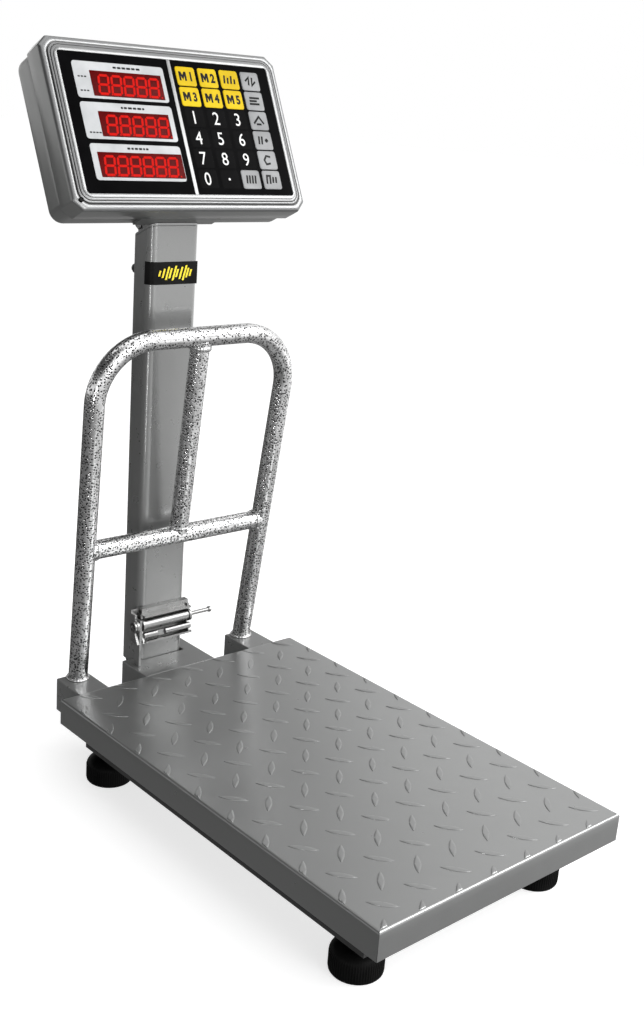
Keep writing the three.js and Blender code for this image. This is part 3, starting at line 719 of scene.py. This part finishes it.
def column():
    y = COLUMN.y
    outer = rounded(COLUMN.width, COLUMN.depth, COLUMN.corner, 12)
    wall = COLUMN.wall
    inner = rounded(COLUMN.width - 2 * wall, COLUMN.depth - 2 * wall, COLUMN.corner - wall, 12)
    shape = Shape()

    def ring(outline, z):
        """The outline at a height, or where None, just under the head."""
        return [(px, py + y, z if z else head_underside(py + y, -84.9)) for px, py in outline]

    low = COLUMN.bottom
    levels = ((inner, low), (outer, low), (outer, low + 12), (outer, 250), (outer, 420), (outer, None),
              (inner, None), (inner, low))
    shape.loft([ring(outline, z) for outline, z in levels], caps=(False, False))
    shape.build("column_post", POST, ["silver_paint"], "column", ("column_tube",), 24)

    band = Shape()
    bottom, top, thickness = 485.6, 508.3, 0.18
    path = []
    corner, half_w, half_d = COLUMN.corner, COLUMN.width / 2, COLUMN.depth / 2
    for k in range(13):
        angle = math.pi + math.pi / 2 * k / 12
        normal = Vector((math.cos(angle), math.sin(angle)))
        path.append((Vector((-half_w + corner, -half_d + corner)) + normal * corner, normal))
    path += [(Vector((x, -half_d)), Vector((0, -1))) for x in (-10, 0, 10, 20, 27.5)]
    rings = []
    for point, normal in path:
        raised_point = point + normal * thickness
        rings.append([
            (point.x, point.y + y, bottom), (raised_point.x, raised_point.y + y, bottom + 0.1),
            (raised_point.x, raised_point.y + y, top - 0.1), (point.x, point.y + y, top),
        ])
    band.loft(rings, 0)
    front = y - half_d - thickness
    heights = (5.5, 9, 13, 10, 14.5, 8, 12, 15, 9.5, 6.5)
    for i, height in enumerate(heights):
        x = -18 + 4.1 * i
        z = (bottom + top) / 2 - height / 2
        lean = 0.28 * height
        corners = [(x, z), (x + 2.2, z), (x + 2.2 + lean, z + height), (x + lean, z + height)]
        band.add([(px - 2, front - d, pz) for d in (-0.05, 0.08) for px, pz in corners],
                 [[0, 1, 2, 3], [7, 6, 5, 4], [0, 4, 5, 1], [1, 5, 6, 2], [2, 6, 7, 3], [3, 7, 4, 0]], 1)
    band.build("column_label_band", POST, ["print_black", "band_yellow"], "column", (), 40)

    gland = Shape()
    place = Matrix.Translation((-20, y + half_d, 497)) @ Matrix.Rotation(-math.pi / 2, 4, "X")

    def hexagon(r, z, angle):
        """Six flats on the nut and a round dome above it."""
        if z > 3.2:
            return r
        sixth = (angle + math.pi / 6) % (math.pi / 3) - math.pi / 6
        return r * (1 / max(0.87, math.cos(sixth)) * 0.94)

    turned(gland, [(0, 0), (5.8, 0), (6.2, 0.4), (6.2, 2.6), (5.8, 3.0), (5.0, 3.3), (5.0, 4.0), (4.6, 5.2),
                   (4.3, 7.4), (3.9, 8.0), (2.4, 8.0), (2.2, 6.6), (0, 6.6)], 48, place, radius_of=hexagon)
    gland.build("cable_gland_nut", POST, ["black_plastic"], "column", ("cable_gland",), 30)


# ------------------------------------------------------------------ feet
def feet():
    radius, height = FOOT.radius, FOOT.height
    sole = ((2.6, 0), (1.2, 0.5), (0.4, 1.6), (0.2, 2.6), (0, 3.4), (0, 7), (0, 11))
    shoulder = ((0, 9.5), (0.6, 7.5), (1.9, 5.2), (4.2, 3), (7, 1.4), (10.5, 0.5))
    profile = [(0, 0.6), (16, 0.6), (17, 0)]
    profile += [(radius - inwards, z) for inwards, z in sole]
    profile += [(radius - inwards, height - down) for inwards, down in shoulder]
    profile += [(9, height - 0.2), (8.4, height), (0, height)]
    ribs = 64

    def ribbed(r, z, angle):
        depth = 0.55 * max(0.0, min(1.0, (z - 2.4) / 1.2)) * max(0.0, min(1.0, (height - 6 - z) / 2.5))
        return r - depth * (0.5 - 0.5 * math.cos(ribs * angle)) ** 0.7

    for front, y in (("front", FOOT.front), ("rear", FOOT.rear)):
        for side, x in (("left", -FOOT.x), ("right", FOOT.x)):
            place = Matrix.Translation((x, y, FLOOR))
            node = f"foot_{front}_{side}"
            pad = Shape()
            turned(pad, profile, ribs * 4, place, radius_of=ribbed)
            pad.build(f"{node}_pad", PLAN, ["rubber"], node, (node,), 42)
            stud = Shape()
            thread = [(3.3, height - 2)]
            z = height - 1
            while z < FOOT.stud_top - 1:
                thread += [(3.3, z), (4.0, z + 0.45), (4.0, z + 0.6), (3.3, z + 1.05)]
                z += 1.25
            thread += [(3.3, FOOT.stud_top - 0.1), (0, FOOT.stud_top - 0.1)]
            turned(stud, [(0, height - 2)] + thread, 20, place)
            stud.build(f"{node}_stud", PLAN, ["zinc"], node, (), 30)


# ------------------------------------------------------------------ indicator head
def front_shell():
    """Loops from the inside of the rear edge, round the outside and over the stepped bezel."""
    def loop(half_width, z, chamfer, fillet):
        return [(x, y, z) for x, y in cut_corners(half_width, half_width - 54.5, chamfer, fillet)]

    steps = [
        (134.8, -25.7, 9.0), (137.3, -26.0, 9.5), (137.5, -25.6, 9.5), (137.5, -15, 9.5), (137.5, -6.5, 9.5),
        (137.35, -5.0, 9.4), (136.8, -3.7, 9.3), (135.9, -2.8, 9.0), (134.6, -2.2, 8.6), (133.2, -2.0, 8.2),
        (131.9, -2.1, 7.8), (131.2, -2.6, 7.5), (130.8, -2.6, 7.3), (130.5, -1.6, 7.2), (130.1, -1.3, 7.1),
        (128.9, -1.2, 6.7), (128.5, -1.6, 6.5), (128.2, -1.6, 6.4), (127.9, -0.8, 6.3), (127.5, -0.6, 6.2),
        (126.4, -0.5, 5.8), (126.0, -0.4, 5.6), (125.6, 0.35, 5.4), (125.2, 0.5, 5.2), (122.7, 0.5, 2.4),
        (122.2, 0.3, 1.6), (122.05, -0.2, 1.3), (122.05, -6.0, 1.3), (134.8, -7.2, 8.6),
    ]
    polished = range(5, 24)
    # The groove rows take a darker copy of the bezel paint: painted shade in the grooves.
    shaded_grooves = (10, 11, 12, 15, 16, 17)
    marks = [2 if i in shaded_grooves else 1 if i in polished else 0 for i in range(len(steps))]
    rings = []
    for i, (half_width, z, chamfer) in enumerate(steps):
        fillet = 2.2 if i < 8 else min(1.6, 0.25 * (i - 4)) * chamfer
        rings.append(loop(half_width, z, chamfer, fillet))
    shape = Shape()
    shape.loft(rings + [rings[0]], caps=(False, False), marks=marks)
    shape.build("head_front_shell", HEAD, ["head_paint", "bezel", "bezel_groove_shade"], "head",
                ("front_shell",), 40)


def rear_shell():
    def loop(width, height, radius, z):
        return [(x, y, z) for x, y in rounded(width, height, radius, 8)]

    width, height = 271, 158
    rings = [loop(width - 6, height - 6, 10, -26.4), loop(width - 0.6, height - 0.6, 12, -26.4),
             loop(width, height, 12, -27)]
    rings += [loop(width, height, 12, z) for z in (-34, -42, -48)]
    for k in range(1, 7):
        angle = math.pi / 2 * k / 6
        inwards = 1 - math.cos(angle)
        z = -48 - 8 * math.sin(angle)
        rings.append(loop(width - 16 * inwards, height - 16 * inwards, 12 - 3 * inwards, z))
    inside = [loop(width - 22, height - 22, 8, -53.4), loop(width - 6, height - 6, 10, -47)]
    shape = Shape()
    shape.loft(rings, caps=(False, True))
    shape.loft([rings[0], inside[1], inside[0]], caps=(False, True))
    piece = shape.build("head_rear_shell", HEAD, ["head_paint"], "head", ("rear_shell",), 30)
    cutters = Shape()
    for bank in range(2):
        for row in range(7):
            x = 40 + 46 * bank
            y = 44 - 6.2 * row
            cutters.plate([(px + x, py + y) for px, py in rounded(36, 2.6, 1.29, 5)], -60, -50)
    cutters.plate([(px + 90, py - 50) for px, py in rounded(22, 14.6, 0.8, 3)], -60, -50)
    carve(piece, cutters, HEAD)

    # The battery door, its catch and four screws, drawn on the head turned over so that its back is up.
    details = Shape()
    flip = HEAD @ Matrix.Rotation(math.pi, 4, "Y")
    door = [(60 - x, y - 34) for x, y in reversed(rounded(84, 52, 4, 5))]
    catch = [(60 - x, y - 13) for x, y in reversed(rounded(22, 5, 2.4, 5))]
    details.plate(door, 55.9, 56.9, 0.4)
    details.plate(catch, 56.8, 57.4, 0.3)
    for x, y in ((-122, 66), (122, 66), (-122, -66), (122, -66)):
        ring = [(px - x, py + y) for px, py in circle(3.6, 24)]
        details.plate(ring, 55.9, 57.2, 0.6, 1)
        # Each screw's cross recess is a thin black cross laid on its head: painted shade in place of a
        # hollow.
        for width, height in ((4.2, 0.9), (0.9, 4.2)):
            slot = [(px - x, py + y) for px, py in rounded(width, height, 0.2, 2)]
            details.plate(slot, 57.1, 57.25, 0, 2)
    details.build("head_back_details", flip, ["head_paint", "zinc", "print_black"], "head",
                  (), 30)


def carve(piece, cutters, matrix):
    """Cuts closed shapes out of a piece and keeps the result as plain mesh."""
    mesh = cutters.mesh("cutter", matrix)
    cutter = placed("cutter", mesh)
    cut = piece.modifiers.new("cut", "BOOLEAN")
    cut.operation = "DIFFERENCE"
    cut.solver = "EXACT"
    cut.object = cutter
    result = baked(piece)
    piece.modifiers.clear()
    old = piece.data
    piece.data = result
    result.set_sharp_from_angle(angle=math.radians(30))
    bpy.data.objects.remove(cutter)
    bpy.data.meshes.remove(mesh)
    bpy.data.meshes.remove(old)


# A display's printed surround and window are given as left, right, bottom and top; first is the middle of
# its first digit.
Display = namedtuple("Display", "name surround window digits first pitch")
DISPLAYS = (
    Display("upper", (-109.3, -8.1, 23.5, 59.0), (-92.0, -12.5, 25.9, 50.5), 5, -79.0, 14.0),
    Display("middle", (-109.7, -8.0, -15.6, 19.8), (-92.2, -13.5, -13.0, 11.4), 5, -79.6, 14.4),
    Display("lower", (-109.0, -8.1, -55.0, -19.9), (-102.7, -8.6, -52.2, -28.0), 6, -91.5, 14.1),
)
SEGMENT = Sizes(half_width=5.1, half_height=8.9, thickness=1.2, gap=0.25, slant=0.13)


def box_outline(x0, x1, y0, y1, radius, steps=6):
    return [(x + (x0 + x1) / 2, y + (y0 + y1) / 2) for x, y in rounded(x1 - x0, y1 - y0, radius, steps)]


def segments():
    """The seven bars of an upright digit, as outlines: x to the right, y up, centre at 0, 0."""
    w, h, t, gap = SEGMENT.half_width, SEGMENT.half_height, SEGMENT.thickness, SEGMENT.gap

    def level(y):
        return [(-w + gap, y), (-w + t + gap, y - t), (w - t - gap, y - t), (w - gap, y),
                (w - t - gap, y + t), (-w + t + gap, y + t)]

    def upright(x, y0, y1):
        return [(x, y0 + gap), (x + t, y0 + t + gap), (x + t, y1 - t - gap), (x, y1 - gap),
                (x - t, y1 - t - gap), (x - t, y0 + t + gap)]

    bars = [level(y) for y in (-h, 0, h)]
    bars += [upright(x, y0, y1) for x in (-w, w) for y0, y1 in ((-h, 0), (0, h))]
    return bars


def displays():
    surrounds = Shape()
    marks = Shape()
    rng = random.Random(5)
    for display in DISPLAYS:
        surrounds.plate(box_outline(*display.surround, 3.2), -0.2, 0.22, 0.15)
        x = (display.window[0] + display.window[1]) / 2 - 13
        y = (display.window[3] + display.surround[3]) / 2
        for _ in range(6):
            width = rng.uniform(2.2, 4.6)
            marks.plate(box_outline(x, x + width, y - 1.0, y + 1.0, 0.5, 3), 0.15, 0.26)
            x += width + 1.1
    for y, count in ((44, 3), (30.5, 3), (-9.5, 4)):
        for k in range(count):
            x = -105.5 + 3.4 * k
            marks.plate(box_outline(x, x + 2.4, y - 0.7, y + 0.7, 0.4, 3), 0.15, 0.26)
    surrounds.build("display_surrounds", HEAD, ["print_silver"], "head", (), 30)
    marks.build("display_surround_marks", HEAD, ["print_black"], "head", (), 30)

    for display in DISPLAYS:
        pane = Shape()
        pane.plate(box_outline(*display.window, 0.6, 3), -1.8, 0.36, 0.12)
        pane.build(f"display_pane_{display.name}", HEAD, ["window"], "head",
                   (f"display_window_{display.name}",), 30)
        digits = Shape()
        middle = (display.window[2] + display.window[3]) / 2 - 0.9
        for k in range(display.digits):
            cx = display.first + k * display.pitch
            for bar in segments():
                digits.plate([(x + SEGMENT.slant * y + cx, y + middle) for x, y in bar], 0.2, 0.42)
            digits.plate([(x + cx + 7.2, y + middle - 9.2) for x, y in circle(0.8, 16)], 0.2, 0.42)
        digits.build(f"display_digits_{display.name}", HEAD, ["segment"], "head", (), 30)

    strip = Shape()
    strip.plate(box_outline(-1.6, 2.4, -68, 68, 0.3, 2), -0.2, 0.3, 0.15)
    strip.build("overlay_divider", HEAD, ["bezel"], "head", (), 30)

    plate = Shape()
    plate.plate(rounded(OVERLAY.width, OVERLAY.height, 1.0, 4), -5.8, 0, 0.3)
    plate.build("overlay_face", HEAD, ["overlay"], "head", ("face_panel",), 30)

    screw = Shape()
    turned(screw, [(0, -0.3), (2.3, -0.3), (2.3, 1.5), (2.0, 1.9), (1.7, 1.9), (1.4, 1.2), (0, 1.2)], 24,
           Matrix.Translation((-129.4, -73.2, -1.6)))
    screw.build("bezel_pin", HEAD, ["print_black"], "head", (), 30)


def ribbon(points, width):
    """The outline of a stroke of even width along points."""
    left, right = [], []
    count = len(points)
    for i, here in enumerate(points):
        here = Vector(here)
        before = (here - Vector(points[i - 1])) if i else Vector(points[1]) - here
        after = (Vector(points[i + 1]) - here) if i < count - 1 else before
        first, second = before.normalized(), after.normalized()
        normal = Vector((-first.y - second.y, first.x + second.x))
        normal *= width / 2 / max(0.35, 1 + first.dot(second))
        left.append(tuple(here + normal))
        right.append(tuple(here - normal))
    return right + left[::-1]


def digit_mesh(text, size, weight):
    """The outlines of a numeral from Blender's own font, as vertices and faces of a thin closed solid."""
    curve = bpy.data.curves.new("numeral", "FONT")
    curve.body = text
    curve.size = size
    curve.extrude = 0.05
    curve.offset = weight
    curve.align_x = "CENTER"
    curve.resolution_u = 4
    holder = placed("numeral", curve)
    mesh = baked(holder)
    verts = [v.co.copy() for v in mesh.vertices]
    faces = [list(p.vertices) for p in mesh.polygons]
    bpy.data.objects.remove(holder)
    bpy.data.curves.remove(curve)
    bpy.data.meshes.remove(mesh)
    low = min(v.y for v in verts)
    high = max(v.y for v in verts)
    left = min(v.x for v in verts)
    right = max(v.x for v in verts)
    shift = Vector(((left + right) / 2, (low + high) / 2, 0))
    return [v - shift for v in verts], faces, high - low


def numeral(shape, text, height, x, y, z, mark, stretch=0.92, weight=0.0):
    verts, faces, own = digit_mesh(text, 10, weight)
    scale = height / own
    shape.add([(v.x * scale * stretch + x, v.y * scale + y, z + v.z) for v in verts], faces, mark)


KEY_NAMES = [
    ["memory_1", "memory_2", "total", "function_1"],
    ["memory_3", "memory_4", "memory_5", "function_2"],
    ["digit_1", "digit_2", "digit_3", "function_3"],
    ["digit_4", "digit_5", "digit_6", "function_4"],
    ["digit_7", "digit_8", "digit_9", "clear"],
    ["digit_0", "point", "function_5", "function_6"],
]
# Plain signs for the function keys: strokes in a box 12 wide and 8 high.
SIGNS = {
    "total": [[(-6, -4), (-6, 4)], [(-2, -4), (-2, 2)], [(2, -4), (2, 4)], [(6, -4), (6, 1)]],
    "function_1": [[(-6, 0), (-2, 4), (-2, -4)], [(2, 4), (2, -4), (6, 0)]],
    "function_2": [[(-6, 3), (6, 3)], [(-6, 0), (3, 0)], [(-6, -3), (6, -3)]],
    "function_3": [[(-6, -3), (0, 4), (6, -3)], [(-3, -3.6), (3, -3.6)]],
    "function_4": [[(-5, 4), (-5, -4)], [(-1.5, 4), (-1.5, -4)], [(2, 0), (6, 0)], [(4, 2), (4, -2)]],
    "clear": [[(3.6, 3.2), (-1.5, 4.2), (-4, 0), (-1.5, -4.2), (3.6, -3.2)]],
    "function_5": [[(-5, -4), (-5, 4)], [(-1.7, -4), (-1.7, 4)], [(1.7, -4), (1.7, 4)], [(5, -4), (5, 4)]],
    "function_6": [[(-6, -4), (-6, 4), (-2, 4), (-2, -4)], [(1.5, -3), (1.5, 3)], [(5, -3), (5, 3)]],
}


LETTER_M = (
    [(-7.2, -4.6), (-7.2, 4.6)], [(-0.8, -4.6), (-0.8, 4.6)],
    [(-6.9, 4.2), (-4, -1.4), (-1.1, 4.2)],
)


def keys():
    for row, names in enumerate(KEY_NAMES):
        for place, name in enumerate(names):
            x = KEY.first_x + place * KEY.pitch_x
            y = KEY.first_y - row * KEY.pitch_y
            black = name.startswith("digit") or name == "point"
            yellow = name.startswith("memory") or name == "total"
            look = "key_black" if black else "key_yellow" if yellow else "key_grey"
            shape = Shape()
            top, edge, crown = (0.06, 0.05, 0.02) if black else (0.52, 0.45, 0.07)
            outline = rounded(KEY.width, KEY.height, KEY.corner, 6)
            shape.plate(outline, -2.0, top, edge, 0, crown, (x, y))
            crest = top + crown
            ink = "print_white" if black else "print_black"
            if name.startswith("digit"):
                numeral(shape, name[-1], 12.8, x - 0.5, y, crest, 1)
            elif name == "point":
                dot = [(px + x - 0.5, py + y) for px, py in circle(1.25, 20)]
                shape.plate(dot, crest - 0.1, crest + 0.05, 0, 1)
            elif name.startswith("memory"):
                for points in LETTER_M:
                    placed = [(px + x, py + y) for px, py in points]
                    shape.plate(ribbon(placed, 2.3), crest - 0.12, crest + 0.05, 0, 1)
                numeral(shape, name[-1], 9.6, x + 5.6, y, crest, 1, 0.85, 0.45)
            else:
                for points in SIGNS[name]:
                    placed = [(px * 1.05 + 0.16 * py + x, py * 1.05 + y) for px, py in points]
                    shape.plate(ribbon(placed, 2.1), crest - 0.12, crest + 0.05, 0, 1)
            shape.build(f"key_{name}_cap", HEAD, [look, ink], f"key_{name}", (f"key_{name}",), 30)


# ------------------------------------------------------------------ column latch, hinges and fittings
def fittings():
    for node, name, look, slot, bevel in (
        ("column_seat", "column_seat_box", "silver_paint", "silver_paint", 0.9),
        ("upper_frame", "platform_tubes", "silver_paint", "silver_paint", 0.9),
        ("base_frame", "base_tubes", "frame_steel", "frame_steel", 0.9),
        ("hinge_bracket", "column_hinge_bracket", "frame_steel", "frame_steel", 0.5),
        ("column_foot", "column_foot_plug", "frame_steel", "frame_steel", 0.3),
        ("column_cap", "column_top_cap", "silver_paint", "silver_paint", 0.3),
        ("head_bracket", "head_tilt_bracket", "silver_paint", "silver_paint", 0.4),
        ("keeper_plate", "latch_keeper", "silver_paint", "zinc_plate", 0.3),
        ("latch_housing", "latch_body", "zinc", "zinc_plate", 0.35),
        ("power_switch", "power_rocker_cap", "black_plastic", "black_plastic", 0.3),
    ):
        refined(node, name, look, bevel)

    rod = Shape()
    y, z = LATCH.y, LATCH.z
    shank = [(0, -40.8), (1.7, -40.8), (2.2, -40.2), (2.2, -26), (4.2, -26), (4.2, -22), (2.2, -22),
             (2.2, 54), (2.2, 55.1), (2.9, 55.1), (3.2, 55.5), (3.2, 58), (2.7, 58.5), (0, 58.5)]
    turned(rod, shank, 32, along_x(0, y, z))
    rod.build("latch_rod", POST, ["zinc"], "latch_bolt", ("latch_bolt",), 30)

    bolt = Shape()
    y, z = PIVOT.y, PIVOT.z
    turned(bolt, [(0, -24), (4.6, -24), (5, -23.5), (5, 23.5), (4.6, 24), (0, 24)], 32, along_x(0, y, z))
    hexagon = [(0, 0), (7.4, 0), (8.2, 0.5), (8.2, 4.3), (7.4, 4.9), (0, 4.9)]
    turned(bolt, hexagon, 6, along_x(20.4, y, z))
    turned(bolt, hexagon, 6, along_x(-25.3, y, z))
    bolt.build("column_pivot_bolt", POST, ["zinc"], "base", ("pivot_bolt",), 25)

    pin = Shape()
    y, z = TILT.y, TILT.z
    turned(pin, [(0, -24), (2.8, -24), (3, -23.7), (3, 29.7), (2.8, 30), (0, 30)], 32, along_x(0, y, z))
    turned(pin, [(0, 0), (5, 0), (5.6, 0.4), (5.6, 3.4), (5, 3.9), (0, 3.9)], 6, along_x(-24.3, y, z))
    pin.build("tilt_pin", POST, ["zinc"], "column", ("tilt_bolt",), 25)

    def lobed(r, height, angle):
        """Five soft lobes that fade out towards the middle."""
        return r * (1 + 0.11 * math.cos(5 * angle) * min(1, r / 6))

    knob = Shape()
    grip = [(0, 0), (5, 0), (5.6, 0.5), (5.8, 2), (7.2, 2.8), (7.9, 3.8), (7.9, 10.6), (7.5, 12),
            (6.6, 12.9), (4.4, 13.3), (0, 13.4)]
    turned(knob, grip, 80, along_x(20.6, y, z), radius_of=lobed)
    knob.build("tilt_clamp_knob", POST, ["black_plastic"], "tilt_knob", ("tilt_knob",), 40)

    for node, look in (("load_cell", "aluminium"), ("load_cell_spacer_lower", "zinc"),
                       ("load_cell_spacer_upper", "zinc"), ("latch_spring", "zinc"), ("main_board", "board"),
                       ("battery", "black_plastic")):
        carry(node, look)


# ------------------------------------------------------------------ studio
def backdrop():
    """A pale floor, and a plain white dome behind the scale that only the camera sees."""
    floor = Shape()
    rings = [[(x, y, 0) for x, y in circle(radius, 64)] for radius in (0.02, 600, 1500, 3000, 9000, 80000)]
    floor.loft(rings, caps=(True, False))
    sheet = floor.build("studio_floor", Matrix.Scale(MM, 4), ["floor"])

    dome = Shape()
    rings = []
    for step in range(24):
        angle = math.pi / 48 * step
        ring = circle(DOME_RADIUS * math.cos(angle), 64)
        rings.append([(x, y, DOME_RADIUS * math.sin(angle)) for x, y in ring])
    dome.loft(rings, caps=(False, True))
    cover = dome.build("studio_backdrop", Matrix.Scale(MM, 4), ["backdrop"])
    cover.visible_shadow = False

    # Rays that leave the object pass both, so what the object mirrors is the plain graded room.
    for piece in (sheet, cover):
        piece.visible_diffuse = False
        piece.visible_glossy = False


def room():
    """A graded world: white round the horizon, and darker at the left than at the right elsewhere."""
    world = bpy.data.worlds.new("studio")
    bpy.context.scene.world = world
    world.use_nodes = True
    tree = world.node_tree
    direction = tree.nodes.new("ShaderNodeSeparateXYZ")
    tree.links.new(tree.nodes.new("ShaderNodeTexCoord").outputs["Generated"], direction.inputs[0])

    def math_node(operation, first, second):
        made = tree.nodes.new("ShaderNodeMath")
        made.operation = operation
        feed(tree, made.inputs[0], first)
        feed(tree, made.inputs[1], second)
        return made.outputs[0]

    def graded(value, start, end, low, high):
        made = tree.nodes.new("ShaderNodeMapRange")
        made.interpolation_type = "SMOOTHSTEP"
        ends = {"Value": value, "From Min": start, "From Max": end, "To Min": low, "To Max": high}
        for name, number in ends.items():
            feed(tree, made.inputs[name], number)
        return made.outputs[0]

    rightward = math_node("ADD", math_node("MULTIPLY", direction.outputs["X"], 0.80),
                          math_node("MULTIPLY", direction.outputs["Y"], -0.60))
    up = direction.outputs["Z"]
    ground_right = graded(up, -0.60, -0.12, ROOM.ground_right_low, ROOM.ground_right_high)
    ground_left = graded(up, -0.60, -0.12, ROOM.ground_left_low, ROOM.ground_left_high)
    ground = graded(rightward, -0.55, 0.85, ground_left, ground_right)
    lower = graded(up, -0.10, -0.01, ground, ROOM.horizon)
    overhead = graded(rightward, -0.12, 0.26, ROOM.overhead_left, ROOM.overhead_right)
    strength = graded(up, 0.08, 0.34, lower, overhead)
    tree.links.new(strength, tree.nodes["Background"].inputs["Strength"])
    tree.nodes["Background"].inputs["Color"].default_value = (1, 1, 1, 1)


def lamps():
    for name, place, target, width, height, power in LAMPS:
        data = bpy.data.lights.new(name, "AREA")
        data.shape = "RECTANGLE"
        data.size, data.size_y = width, height
        data.energy = power
        lamp = placed(name, data)
        lamp.location = place
        lamp.rotation_euler = (Vector(target) - Vector(place)).to_track_quat("-Z", "Y").to_euler()
        lamp.visible_camera = False


def photographer():
    bpy.context.scene.view_settings.view_transform = "Standard"
    data = bpy.data.cameras.new("camera")
    data.lens = CAMERA.lens
    data.sensor_width = 36
    camera = placed("camera", data)
    matrix = Matrix((CAMERA.right, CAMERA.up, CAMERA.back)).transposed().to_4x4()
    matrix.translation = CAMERA.place
    camera.matrix_world = matrix
    bpy.context.scene.camera = camera


backdrop()
room()
lamps()
photographer()
deck()
tread()
rails()
column()
feet()
front_shell()
rear_shell()
displays()
keys()
fittings()
